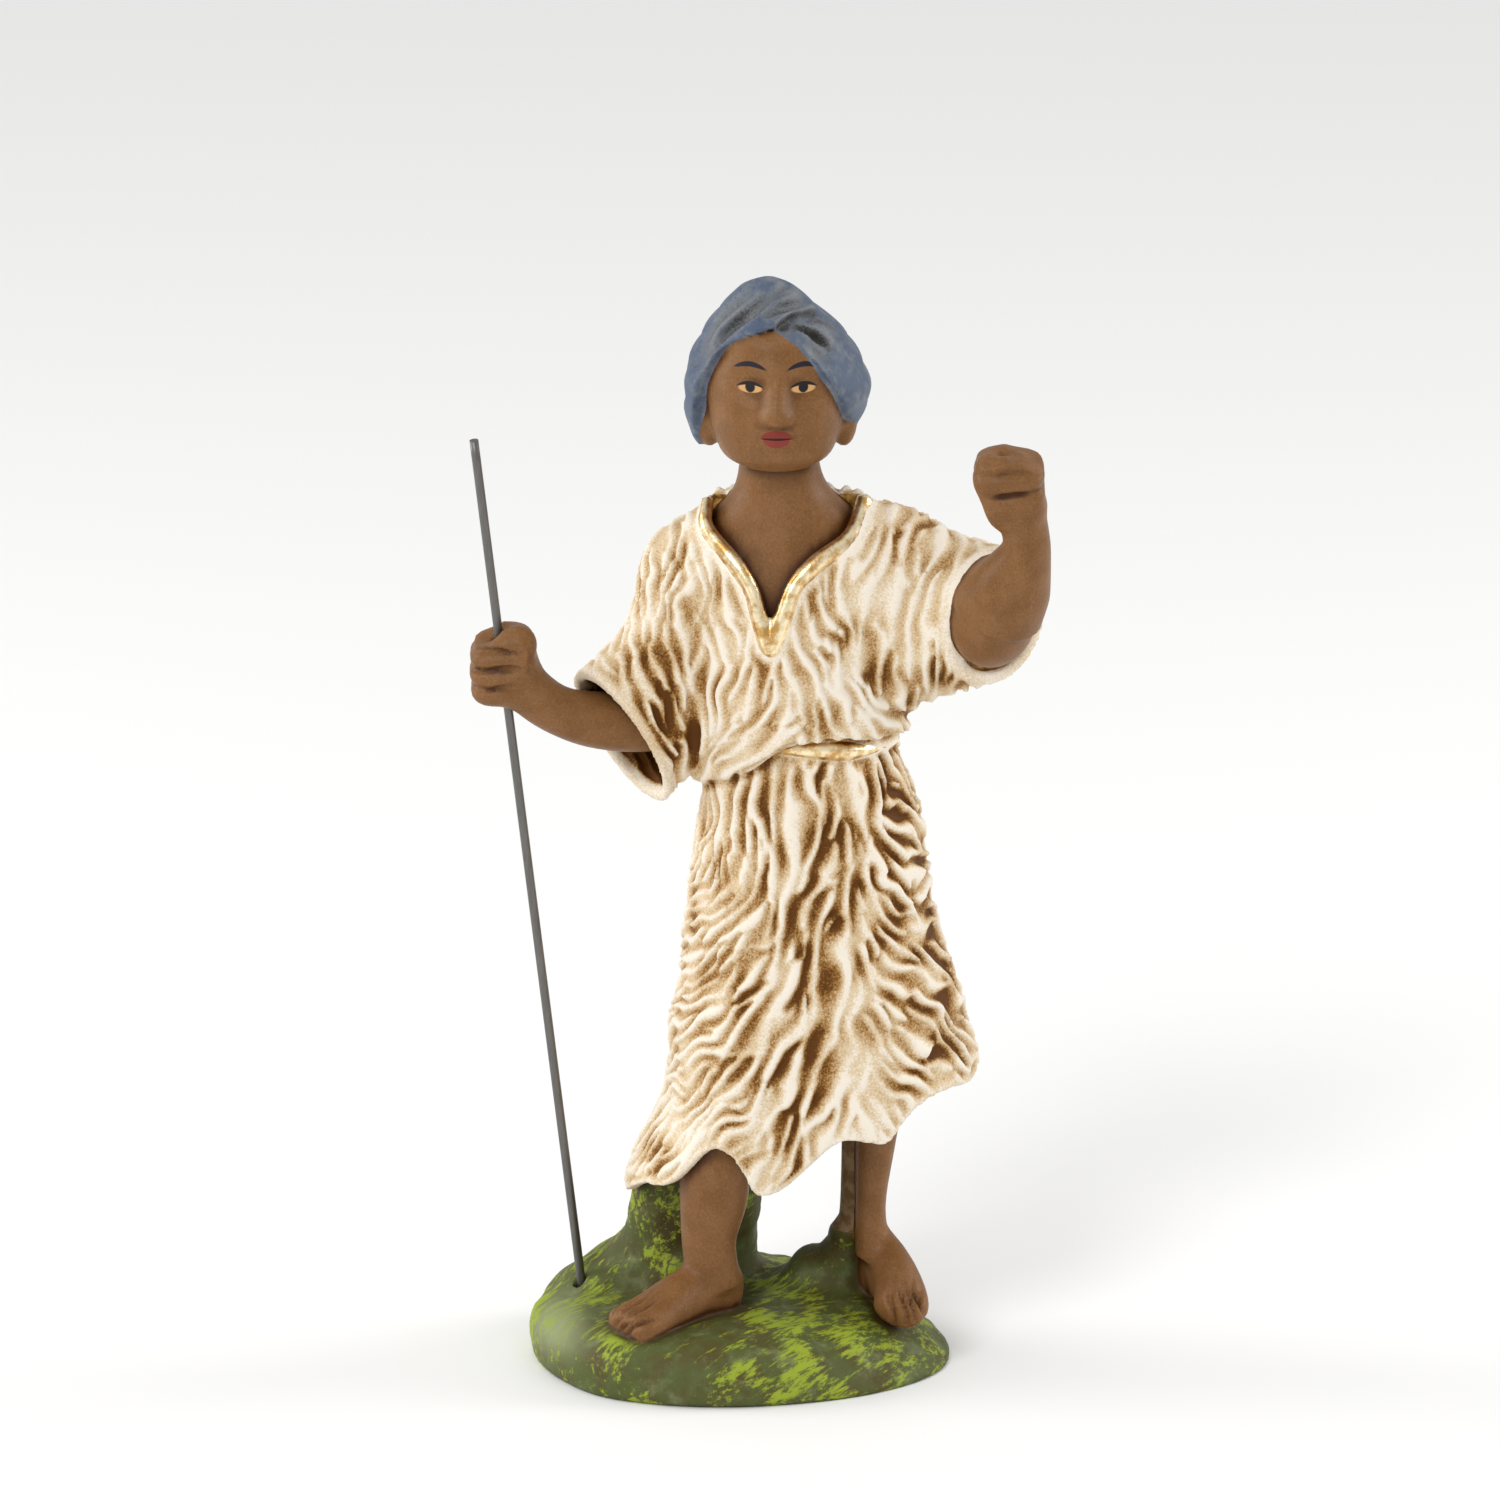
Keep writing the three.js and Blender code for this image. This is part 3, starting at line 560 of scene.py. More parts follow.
def sleeve(rows, pocket):
    """A sleeve with a wall at its cuff and a pocket behind it, as a share of its length, or none."""
    course = through(rows)
    turns = round_angles(FINE)

    def ring(share, inset):
        at = course(share)[0]
        up, side = at[3:6], at[6:9]
        up = up * (1 - inset / np.linalg.norm(up))
        side = side * (1 - inset / np.linalg.norm(side))
        return place(at[:3] + np.outer(np.cos(turns), up) + np.outer(np.sin(turns), side))

    wall = CUFF_WALL / PERCENT
    rings = [ring(share, 0) for share in np.linspace(0, 1, 41)]
    if pocket:
        rings += [ring(1, wall), ring(1 - pocket, 1.6 * wall)]
    return skin(rings)


# Rings from shoulder to cuff: share of the length, middle, and the ring's half axes up and aside
SLEEVES = [
    [[0, 1.2, 0, 72.2, -5, 0, 5, 0, 6, 0], [0.33, -5, 0, 67.7, -3.75, 0, 6.1, 0, 5.7, 0],
     [0.67, -7.4, -1, 59.6, -3.45, 0, 6.65, -0.3, 5, -1.4],
     [1, -11.2, -3, 55.7, -4.4, 0, 6, -0.9, 4.2, -3.5]],
    [[0, 9, 0, 69.5, 1, 0, 9, 0, -7.4, 0], [0.35, 15, -0.3, 67.6, 0.4, 0, 10.1, -0.6, -7, 0],
     [0.7, 19.8, -2, 67.35, 0.2, 0, 7.85, -2.8, -5.7, 0],
     [1, 24.2, -5, 68.2, 0, 0, 6.6, -4.7, -3.9, 0]],
]
POCKETS = [0.25, 0.07]

HOLDING_HAND = np.array([-22.3, -6, 63.7])
RAISED_HAND = np.array([25.5, -12.5, 82.7])
SOCKET = np.array([-15.15, 2, 1.1])
staff_way = unit(place(HOLDING_HAND) - place(SOCKET))


def arms():
    """The arm that holds the staff, and the raised one."""
    holding = tube([
        [-3, 0.6, 57.6, 3.2, 3.3], [-9, -1.4, 56.9, 3.1, 3], [-13.5, -3.4, 57.5, 2.7, 2.7],
        [-17, -4.9, 58.85, 2.4, 2.35], [-19.6, -5.7, 60.85, 2.4, 2.35], [-21.4, -6, 63.2, 2.4, 2.4],
    ], UPRIGHT)
    upper = egg([23.9, -6.3, 69.2], [4.05, 3.7, 5.1])
    elbow = egg([23.5, -7.6, 68.3], [3.8, 4, 4.3])
    forearm = tube([
        [24.5, -8.4, 69.6, 4.1, 4], [25.7, -9.8, 72.6, 3.65, 3.6], [26.9, -11.3, 76.6, 2.3, 2.5],
        [26.3, -12.1, 80.6, 2.3, 2.4],
    ], INWARD)
    return holding, join_all([upper, elbow, forearm], 1.6)


# Fists: half sizes, how far the top falls off at a corner, and the grooves between the fingers
FIST_WIDE, FIST_DEEP, FIST_TALL = 3.1, 2.9, 3.9
CORNER_FALL = 1.6
GROOVE_DEPTH = 0.65
GROOVE_SPREAD = 0.1


def fist(middle, way, knuckles, corner, taper, grooves):
    """A closed fist, grooved on its knuckle side at shares of its half height."""
    along = unit(np.array(way))
    across = unit(np.cross(INWARD, along))
    over = np.cross(along, across)
    turns = round_angles(60)
    finger = np.maximum(0, np.cos(turns - math.radians(knuckles)) + 0.35) / 1.35
    square = (np.cos(turns) ** 4 + np.sin(turns) ** 4) ** -0.25
    slope = CORNER_FALL * np.maximum(0, np.cos(turns - math.radians(corner)))
    rings = []
    for tilt in np.linspace(-0.5, 0.5, 61) * np.pi:
        height = math.sin(tilt)
        grooved = sum(bump(height - groove, GROOVE_SPREAD) for groove in grooves)
        dent = GROOVE_DEPTH * grooved * finger ** 0.5
        narrow = math.sqrt(1 - 0.9 * abs(height) ** 5) * square * (1 + taper * height)
        wide = (np.cos(turns) * (FIST_WIDE * narrow - dent))[:, None]
        deep = (np.sin(turns) * (FIST_DEEP * narrow - dent))[:, None]
        tall = (height * FIST_TALL - slope * max(0, height) ** 2)[:, None]
        rings.append(place(middle + (across * wide + over * deep + along * tall)))
    return skin(rings)


def hands():
    """The two arms with their fists and thumbs."""
    holding, raised = arms()
    holding = join(holding, fist(HOLDING_HAND, (0.01, -0.13, 1), 200, 180, 0, [0.56, 0.08, -0.4]), 1.2)
    holding = join(holding, egg([-20.6, -7.4, 66.2], [1.5, 1.4, 1.6]), 0.8)
    raised = join(raised, fist(RAISED_HAND, (-0.16, -0.2, 1), 250, 0, 0.16, [0.7, 0.12]), 1.2)
    raised = join(raised, egg([25.9, -12.7, 84.1], [1.9, 2.2, 2]), 0.8)
    return holding, join(raised, egg([23.3, -13.6, 83.9], [1.4, 1.5, 2.3]), 0.6)


TOE_GAPS = [0.34, -0.04, -0.38, -0.7]


def foot(rows, side):
    gaps = [math.acos(side * share) for share in TOE_GAPS]

    def dent(turns, share):
        return 1.2 * sum(bump(turns - gap, 0.1) for gap in gaps) * float(smoothstep(share, 0.58, 0.78))

    return tube(rows, UPRIGHT, columns=120, steps=70, dent=dent, rounded=0.09)


# Each leg: its rows, its foot's rows from heel to toes, and 1 or -1 for the side that the toes are on
LEGS = [
    ([[-2.2, -5.7, 20, 3.3, 3.2], [-2.4, -5.9, 12, 3.3, 3.1], [-2.9, -6, 7, 2.6, 2.6],
      [-2.4, -5.6, 2.6, 2.5, 2.6]],
     [[-0.5, -4, 1, 1.5, 2.1], [-2, -5, 1.5, 2.3, 2.9], [-4.6, -7, 1.7, 2.4, 2.9],
      [-7.4, -9.4, 1, 2.9, 2.3], [-9.8, -11.4, 0.3, 3.2, 2.1], [-11.3, -12.4, -0.1, 2.9, 1.9]], 1),
    ([[13.5, -0.6, 22, 2.5, 2.7], [12.9, -0.9, 15, 1.9, 2.2], [12.45, -1.1, 9, 1.45, 1.8],
      [12.7, -1, 4, 1.7, 2.2]],
     [[12.6, 1, 1, 1.5, 2.2], [13.5, -0.6, 2.6, 1.8, 3.6], [14.5, -2.8, 2.2, 2.2, 3.3],
      [15.2, -5, 1.3, 2.5, 2.5], [15.3, -7, 0.5, 2.6, 1.9], [14.8, -8.3, 0, 2, 1.4]], -1),
]


def legs():
    return [join(tube(rows, INWARD), foot(sole, side), 1.2) for rows, sole, side in LEGS]


# The mound's outline from the floor up: shares of its reach and of its height
MOUND_PROFILE = [[0.97, 0], [1, 0.08], [1, 0.3], [0.98, 0.55], [0.94, 0.74], [0.85, 0.89],
                 [0.7, 0.98], [0.4, 1.02]]
mound_reach = around([
    [-180, 0.98], [-130, 0.99], [-90, 0.99], [-58, 1.025], [-38, 1.075], [-22, 1.06], [-3, 1.03],
    [18, 1.01], [41, 1.03], [69, 1.06], [85, 1.04], [120, 1.01],
])
SLOPE_RIGHT, SLOPE_LEFT = 0.28, 0.06  # how far the right side slopes in by the top, and the left out


def mound():
    angles = compass_angles(FINE)
    turns = np.radians(angles)
    lean = np.sin(turns) * np.where(np.sin(turns) > 0, SLOPE_RIGHT, SLOPE_LEFT)
    rings = []
    for share, height in traced(MOUND_PROFILE, 40):
        reach = share * mound_reach(angles) * (1 - lean * height)
        rings.append(np.stack([np.sin(turns) * reach * BASE_WIDTH / 2,
                               -np.cos(turns) * reach * BASE_DEPTH / 2,
                               np.full(FINE, height * BASE_HEIGHT)], 1))
    return skin(rings)


def stump():
    sections = through([
        [-1.5, -6.8, 6, 11.4, 8.6], [0, -6.6, 5.9, 10.4, 7.9], [1.3, -6.4, 5.7, 8.8, 7.1],
        [2.6, -5.85, 5.2, 7.4, 6.4], [4.5, -4.85, 4.6, 6.4, 5.6], [8, -4.2, 3.4, 6.25, 4.7],
        [13, -3.9, 2.6, 5.4, 4.6],
    ])
    return mantle(sections, level(-1.5), 13, rows=40)


def strut():
    return tube([
        [8.9, 3, -1, 6, 4.2], [9.4, 2.8, 1.2, 4.6, 3.4], [9.9, 2.5, 2.6, 3, 2.8],
        [10.3, 2, 4.4, 1.9, 2.1], [10.5, 1.5, 6, 1.5, 1.8], [10.8, 1.1, 8.5, 1.25, 1.7],
        [11, 0.8, 22, 1.2, 1.7],
    ], INWARD, columns=24)


def rod_rings(radius, start, end, sides, steps=2):
    """Rings round the staff's line, between two distances from the socket's mouth."""
    side = unit(np.cross(INWARD, staff_way))
    other = np.cross(staff_way, side)
    turns = round_angles(sides)
    circle = np.outer(np.cos(turns), side) + np.outer(np.sin(turns), other)
    return [place(SOCKET) + circle * radius + staff_way * s for s in np.linspace(start, end, steps)]


# The whole figure, kept as one field for each kind of paint

STRUT_PAINT = 5.7  # the strut is brown above this height
CAP_WALL = 2  # how deep the head keeps clear below the turban, in millimetres
CAP_GAP = 0.1


def tunic():
    sleeves = [sleeve(rows, pocket) for rows, pocket in zip(SLEEVES, POCKETS)]
    cloth = join(join_all([bodice(), *sleeves], 1.0), skirt(), 0.5)
    return np.maximum(cloth, -neck_opening())


def bust():
    cap = mantle(turban_sections, turban_edge, TURBAN_TOP, lining=[(1, 0)])
    dome = mantle(turban_sections, level(82.6), TURBAN_TOP)
    bare = join(join(chest(), head(), 1.0), ears(), 1.0)
    return np.maximum(bare, -np.maximum(cap + CAP_GAP, -CAP_WALL - dome))


def figure_fields():
    heights = LOW[2] + VOXEL * np.arange(SHAPE[2], dtype=np.float32)
    post, seam = strut(), place([0, 0, STRUT_PAINT])[2]
    return {
        "cloth": tunic(),
        "skin": join_all([bust(), *hands(), *legs()], 0),
        "turban": turban(),
        "gold": np.minimum(neck_trim(), belt()),
        "ground": join(join(mound(), stump(), 1.6), np.maximum(post, heights - seam), 1.8),
        "strut": np.maximum(post, seam - heights),
    }


def main_shell(points, quads):
    """The largest connected part of a mesh, without the crumbs that the unions leave beside it."""
    edges = np.concatenate([quads[:, [k, (k + 1) % 4]] for k in range(4)])
    label = np.arange(len(points))
    before = None
    while before is None or not np.array_equal(before, label):
        before = label.copy()
        lowest = label[edges].min(axis=1)
        for k in range(2):
            np.minimum.at(label, edges[:, k], lowest)
        label = label[label]
    main = label == np.bincount(label).argmax()
    renumbered = np.cumsum(main) - 1
    return points[main], renumbered[quads[main[quads[:, 0]]]]


def normals_of(points, quads):
    a, b, c, d = (points[quads[:, k]] for k in range(4))
    face = np.cross(c - a, d - b)
    out = np.zeros_like(points)
    for k in range(4):
        np.add.at(out, quads[:, k], face)
    return unit(out)


def meshed(a):
    """A field's surface: points, quads that face out, and the points' normals."""
    grid = openvdb.FloatGrid(BAND * VOXEL)
    grid.copyFromArray(a.astype(np.float32))
    points, quads = main_shell(*grid.convertToQuads(isovalue=0.0))
    points = points * VOXEL + LOW
    normals = normals_of(points, quads)
    if (sampled(a, points + normals * 0.3) - sampled(a, points - normals * 0.3)).mean() < 0:
        return points, quads[:, ::-1].copy(), -normals
    return points, quads, normals


fields = figure_fields()
whole = join_all([fields[name] for name in ("cloth", "skin", "turban", "gold")], 0.25)
whole = join(whole, join(fields["ground"], fields["strut"], 1.4), 0.5)
hole = skin(rod_rings(STAFF_RADIUS + STAFF_CLEARANCE, -SOCKET_DEPTH - STAFF_CLEARANCE,
                      STAFF_LENGTH, 24))
whole = np.maximum(whole, -hole)
points, quads, normals = meshed(whole)

# How far each point is inside the region of one paint, against the nearest other one
values = {name: sampled(a, points) for name, a in fields.items()}
others = {name: np.min([v for other, v in values.items() if other != name], 0) for name in values}
owner = {name: np.clip(others[name] - values[name], -1.5, 1.5) for name in values}

# How deep each point lies in a hollow, and how far it is inside the tunic, which the paints darken as
# painted shade; the inside of the neck opening takes its own paint
cavity = -sampled(blurred(whole, 0.7), points)
closed_tunic = join_all([bodice(), skirt(False), *(sleeve(rows, 0) for rows in SLEEVES)], 0)
lined = -sampled(closed_tunic, points)
collar = lined * smoothstep(points[:, 2], 80, 82)

# Fleece: strands that follow a flow over the tunic, with furrows between them.
# Each row: x and height in percent, the strands' slant from straight down towards the viewer's
# right in degrees, the width of a strand with its furrow in millimetres, and the furrow's depth.
FLOW = [
    [2, 51, 0, 2.6, 1], [8, 51, 0, 2.6, 1], [13, 50, 8, 2.4, 1], [-3, 50, 0, 2.2, 0.5],
    [2, 46, 4, 2.8, 1], [-2, 43, -20, 2, 0.7], [0.5, 39, -35, 2, 0.6], [5, 42, -10, 3, 1],
    [9, 44, -38, 2.9, 1], [9.5, 40, -10, 3.1, 1], [12.5, 46, 10, 2.3, 0.9], [15, 46.5, 48, 2.6, 1],
    [15.3, 49, 34, 2.4, 1], [16.4, 42.5, 60, 2.6, 1], [13.4, 41, 30, 2.3, 0.8],
    [16.8, 38.5, 60, 2.9, 1], [13.7, 36, 35, 2.3, 0.8], [17.5, 34.5, 45, 3, 1],
    [-3, 37, -45, 1.9, 0.65], [1, 36, -40, 2.1, 0.7], [6.7, 35, -4, 2.9, 1], [8, 34, -12, 3, 1],
    [-3.5, 31, -48, 1.9, 0.65], [2, 31, -45, 2.7, 0.9], [3.5, 29, -38, 3.1, 1],
    [10.2, 31, -15, 2.4, 0.5], [15.4, 31, 55, 2.6, 0.9], [19, 29.5, 36, 2.8, 1],
    [13.2, 29, 48, 2.3, 0.6], [6.2, 28, -35, 3.2, 1], [4.8, 24.5, -38, 3.3, 1],
    [7.2, 25.5, -28, 3.1, 1], [11, 26, -18, 2.3, 0.4], [13.3, 24.5, 42, 2.3, 0.6],
    [17.8, 24.5, 50, 2.5, 1], [-4, 24, -45, 1.9, 0.6], [0, 20.5, -45, 2.2, 0.7],
    [7.4, 22.5, -30, 3.1, 1], [5.7, 21, -15, 3, 1], [2.2, 19.5, -30, 2.4, 0.6],
    [11, 19.5, 0, 2.3, 0.5], [15.7, 21, 58, 2.4, 0.8], [4.5, 15.5, -25, 2.4, 0.9],
    [-3.7, 18.5, -45, 1.8, 0.4], [-8.5, 15, -30, 2, 0.7], [9, 17, -10, 2.3, 0.4],
    [-3.7, 68.5, 5, 2.2, 0.6], [-2, 67, 8, 2.2, 0.7], [-9, 67, 0, 2.1, 0.5], [-7, 74, -10, 2.3, 0.6],
    [-7.3, 63, 28, 1.9, 0.8], [-7.3, 56, 30, 2, 1], [-4, 60, 0, 2.3, 0.9], [-1.4, 67, -2, 2.2, 0.6],
    [1, 61, -20, 2.2, 0.6], [2.6, 60, -30, 2.3, 0.6], [6, 64, 24, 2.3, 0.8], [8.3, 67, 18, 2.3, 0.8],
    [12.8, 64.5, 0, 2.5, 0.8], [12.7, 70, -4, 2.4, 0.4], [14.2, 73.5, -18, 2.4, 0.6],
    [15.8, 69, 0, 2.4, 0.6], [17, 72, -15, 2.4, 0.7], [16.4, 62.5, 3, 2.2, 0.9],
    [14.8, 62.5, 5, 2.3, 0.9], [9.3, 60, 14, 2.3, 0.7], [8, 58, 15, 2.2, 0.7],
    [12.3, 59, 55, 2.4, 0.8], [15, 77, -42, 2.4, 0.7], [18, 75.5, -35, 2.4, 0.7],
    [10.4, 57.5, 30, 2.2, 0.4], [0, 55, -55, 2, 0.4], [3.5, 56.5, -50, 2, 0.4],
    [20.5, 64, 0, 2.2, 0.7], [21, 71, -8, 2.2, 0.5],
]

# Places where the brown wash lies thicker, or was wiped off: x, height, reach and amount
WASHES = [
    [-8, 61, 3.5, 0.24], [-9, 56, 3, 0.12], [-6.5, 71, 3, 0.15], [14.5, 46, 3, 0.1], [21, 28, 3, -0.1],
    [-1.5, 19, 3, 0.15], [2.5, 56, 2.5, 0.15], [8, 63, 3, -0.15], [13, 60, 3, -0.2], [15, 64, 3, -0.1],
    [9, 20, 4, -0.1], [17.5, 70, 3, 0.1], [-4, 12, 3, 0.1], [21, 62, 2, 0.1],
]
# Places where the ground is darker, as painted shade mostly round the legs and the stump, and where it
# is paler, as the viewer sees them
GROUND_SHADE = [
    [-6.3, 6, 2.8, 0.9], [4, 3.8, 3, 0.4], [9, 4.5, 2.2, 0.5], [-4, -1.5, 3, 0.3],
    [-17.5, -3, 3.5, -0.5], [12, -7, 5, 0.1], [-13, 8, 2.5, -0.45],
]


def blots(across, up, rows):
    """The sum of soft round blots, at points across and up."""
    return sum(amount * bump(np.hypot(across - x, up - z), reach) for x, z, reach, amount in rows)


BACK_WIDTH, BACK_FURROWS = 2.4, 0.75  # width of a strand and depth of its furrow on the back


def flow_at(points, normals):
    """The strands' direction, width and depth at points of the tunic, and how short its tufts are."""
    hints = np.array(FLOW, float)
    spots = place(np.stack([hints[:, 0], np.zeros(len(hints)), hints[:, 1]], 1))
    apart = ((points[:, None, 0] - spots[None, :, 0]) ** 2
             + (points[:, None, 2] - spots[None, :, 2]) ** 2)
    share = 1 / (apart + 2.0) ** 2
    share /= share.sum(1)[:, None]
    slant = np.radians(hints[:, 2])
    behind = smoothstep(normals[:, 1], -0.1, 0.5)
    right = share @ np.sin(slant) * (1 - behind)
    down = share @ np.cos(slant) * (1 - behind) + behind
    width = share @ hints[:, 3] * (1 - behind) + BACK_WIDTH * behind
    depth = share @ hints[:, 4] * (1 - behind) + BACK_FURROWS * behind
    facing = np.minimum(normals[:, 1], -0.35)
    inward = (down * normals[:, 2] - right * normals[:, 0]) / facing * (1 - behind)
    way = np.stack([right, inward, -down], 1)
    way -= normals * (way * normals).sum(1)[:, None]
    short = smoothstep(share @ hints[:, 2], 25, 50) * (1 - behind)
    return unit(way), width, depth, short


WAVES = 14


def wobble(points, length):
    """Smooth noise of about -1 to 1, with waves of about that length in millimetres."""
    total = np.zeros(len(points))
    for _ in range(WAVES):
        way = rng.normal(size=3)
        way *= 2 * np.pi / length / np.linalg.norm(way) * rng.uniform(0.7, 1.4)
        total += np.sin(points @ way + rng.uniform(0, 2 * np.pi))
    return total * math.sqrt(1 / WAVES)


TUFTS = 8000
ALONG, ACROSS, THROUGH = 1.7, 0.8, 1.2  # reach of one tuft, in millimetres
SHORTER = 0.4  # share of its length that a tuft loses where the fleece is choppy
STRAY = 13  # degrees
CELL = 4.0  # points are worked through in cells of this size,
NEARBY = 2.5 * ALONG  # with the tufts that are no further from them than this


def waves(at, at_normals, tufts):
    """The sum of every tuft's wave at each point, as complex numbers, its weight, and the swell."""
    total = np.zeros(len(at), complex)
    weight, swell = np.zeros((2, len(at)))
    keys = np.floor(at / CELL).astype(int)
    order = np.lexsort(keys.T)
    starts = np.flatnonzero(np.any(np.diff(keys[order], axis=0) != 0, 1)) + 1
    for block in np.split(order, starts):
        low, high = at[block].min(0) - NEARBY, at[block].max(0) + NEARBY
        near = np.flatnonzero(np.all((tufts["at"] > low) & (tufts["at"] < high), 1))
        if not len(near):
            continue
        close = {name: data[near] for name, data in tufts.items()}
        apart = at[block][:, None] - close["at"][None]
        along, across, through_it = ((apart * close[name]).sum(2) for name in ("way", "side", "normal"))
        facing = np.maximum(0, at_normals[block] @ close["normal"].T)
        w = facing * np.exp(-0.5 * ((along / close["reach"]) ** 2 + (across / ACROSS) ** 2
                                    + (through_it / THROUGH) ** 2))
        total[block] = (w * np.exp(1j * (across * close["beat"] + close["phase"]))).sum(1)
        weight[block] = w.sum(1)
        swell[block] = (w * close["swell"]).sum(1) / np.sqrt((w * w).sum(1) + 1e-9)
    return total, weight, swell


def fleece(points, normals, woolly):
    """How high each point stands between furrow (0) and strand (1), and how deep furrows are there."""
    candidates = np.flatnonzero(woolly > 0)
    chosen = rng.choice(candidates, TUFTS, replace=False)
    way, width, _, short = flow_at(points[chosen], normals[chosen])
    side = np.cross(normals[chosen], way)
    stray = np.radians(rng.normal(0, STRAY, TUFTS))[:, None]
    way, side = way * np.cos(stray) + side * np.sin(stray), side * np.cos(stray) - way * np.sin(stray)
    width = width * rng.uniform(0.55, 1.05, TUFTS)
    tufts = {
        "at": points[chosen], "way": way, "side": side, "normal": normals[chosen],
        "beat": 2 * np.pi / width, "reach": ALONG * (1 - SHORTER * short),
        "phase": rng.uniform(0, 2 * np.pi, TUFTS), "swell": rng.normal(size=TUFTS),
    }
    # Each tuft falls in step with its neighbours
    tufts["phase"] = np.angle(waves(tufts["at"], tufts["normal"], tufts)[0])

    height = np.ones(len(points))
    depth = np.zeros(len(points))
    at = points[candidates]
    at = at + 0.45 * np.stack([wobble(at, 6), wobble(at, 6), wobble(at, 6)], 1)
    total, weight, swell = waves(at, normals[candidates], tufts)
    strength = np.abs(total) / np.maximum(weight, 1e-6)
    wave = np.cos(np.angle(total)) * smoothstep(strength, 0.02, 0.2) + 0.3 * swell
    height[candidates] = np.clip((wave + 1.0) / 2.0, 0, 1) ** 1.6
    patchy = np.clip(0.92 + 0.3 * wobble(at, 6), 0.45, 1.2)
    depth[candidates] = flow_at(points[candidates], normals[candidates])[2] * patchy
    return height, depth


def plain_edges(points):
    """0 on the plain bands along the hem, the cuffs and the neck, and 1 on the fleece."""
    percent = in_percent(points)
    x, y, z = percent.T
    middle = skirt_sections(z)
    angle = np.degrees(np.arctan2((x - middle[:, 0]) / middle[:, 2],
                                  -(y - middle[:, 1]) / middle[:, 3]))
    out = np.where(z < 50, smoothstep(z - hem(angle), 0.1, 1.1), 1)
    for rows in SLEEVES:
        end, up, side = np.array(rows[-1][1:], float).reshape(3, 3)
        axis = unit(np.cross(up, side))
        if axis @ (end - np.array(rows[-2][1:4], float)) < 0:
            axis = -axis
        offset = percent - end
        near = np.linalg.norm(offset, axis=1) < 10
        out = np.where(near, out * smoothstep(-(offset @ axis), 0.4, 1.4), out)
    line = traced([row[:3] for row in neck_rows], 60)
    from_neck = np.min(np.linalg.norm(percent[:, None] - line[None], axis=2), 1)
    return out * smoothstep(from_neck, 0.8, 2.0)


# Creases between the fingers and the toes, as the viewer sees them: points across and up in percent,
# then half width, depth and how dark their painted shade is
CREASES = [
    ([[-25, 61], [-24, 61.2], [-22.7, 60.9], [-21.5, 60.6], [-20.1, 60.6]], 0.22, 0.3, 0.9),
    ([[-25.2, 59.1], [-24, 58.9], [-22.6, 59.1], [-21.2, 59.2], [-19.8, 58.9]], 0.22, 0.3, 0.9),
    ([[-25, 57.4], [-23.7, 57.1], [-22.7, 57.3], [-21.7, 57.5], [-20.7, 57.6]], 0.22, 0.25, 0.7),
    ([[-20, 61.3], [-19.6, 60.3], [-19.7, 58.9], [-19.3, 58.1]], 0.2, 0.2, 0.6),
    ([[23.6, 77.3], [26, 77.4], [28.4, 77.1]], 0.35, 0.15, 0.5),
    ([[23.8, 75.3], [25.6, 75.2], [27.6, 74.9]], 0.35, 0.1, 0.35),
    ([[23.6, 79.1], [25.2, 79.2], [27, 78.8]], 0.2, 0.15, 0.35),
    ([[-10.9, -4.6], [-10.4, -3.4], [-9.6, -2.8], [-8.7, -2.5], [-7.5, -2.2]], 0.22, 0.5, 0.9),
    ([[-11.7, -4.6], [-11.2, -3.4], [-10.8, -2.9], [-10, -2.4]], 0.2, 0.4, 0.8),
    ([[-12.5, -4.2], [-11.6, -2.6], [-10.9, -2]], 0.18, 0.35, 0.6),
    ([[-12.6, -2.6], [-12.2, -2], [-11.6, -1.6]], 0.18, 0.3, 0.5),
    ([[16.4, 0.5], [16.8, -0.4], [17.3, -1.3], [17.5, -2.1]], 0.2, 0.6, 1),
    ([[15.8, 0.6], [16.2, -0.6], [16.5, -1.7], [16.6, -2.9]], 0.2, 0.55, 0.8),
    ([[15.1, 0.4], [15.5, -0.8], [15.8, -2], [15.9, -3.2]], 0.2, 0.55, 0.8),
    ([[14.1, 0], [14.4, -1.3], [14.6, -2.3], [14.7, -3.4]], 0.2, 0.5, 0.7),
]


def creases(points, normals, fleshy):
    """How deep the creases are at points of the skin, in percent, and how dark their painted shade is.
    """
    depth, dark = np.zeros((2, len(points)))
    towards = normals[:, 2] * math.sin(VIEW_ELEVATION) - normals[:, 1] * math.cos(VIEW_ELEVATION)
    shown = smoothstep(towards, 0, 0.4)
    seen = in_view(in_percent(points))
    for line, half, deep, shade in CREASES:
        low, high = np.min(line, 0) - 1, np.max(line, 0) + 1
        near = np.flatnonzero((fleshy > 0) & np.all((seen > low) & (seen < high), 1))
        apart, strong = groove_distance(seen[near], line)
        depth[near] += deep * strong * bump(apart, half)
        dark[near] = np.maximum(dark[near], shade * strong * bump(apart, half + 0.08))
    return depth * shown * fleshy, dark * shown * fleshy


TURBAN_MIDDLE = 3.4


def turban_folds(points, seen):
    """How deep the turban is carved at each point, in percent, its painted shade, and its wear and
    painted highlight.
    """
    out = np.zeros((3, len(points)))
    wound = np.flatnonzero(owner["turban"] > 0)
    x, y, _ = points[wound].T
    out[:, wound] = wrapped(seen[wound], facing_viewer(np.arctan2(x - TURBAN_MIDDLE * PERCENT, -y)))
    out[0] *= smoothstep(owner["turban"], 0.1, 0.6)
    return out


def sunk(points, depth):
    """Points moved in along their normals, by millimetres."""
    return points - normals * depth[:, None]


# How deep the deepest furrows of the fleece are, in millimetres, and the share of that by which
# strands stand over the surface
FURROW_DEPTH = 0.85
CREST = 0.25

fleshy = smoothstep(owner["skin"], 0.1, 0.5)
crease_depth, crease_shade = creases(points, normals, fleshy)
points = sunk(points, crease_depth * PERCENT)

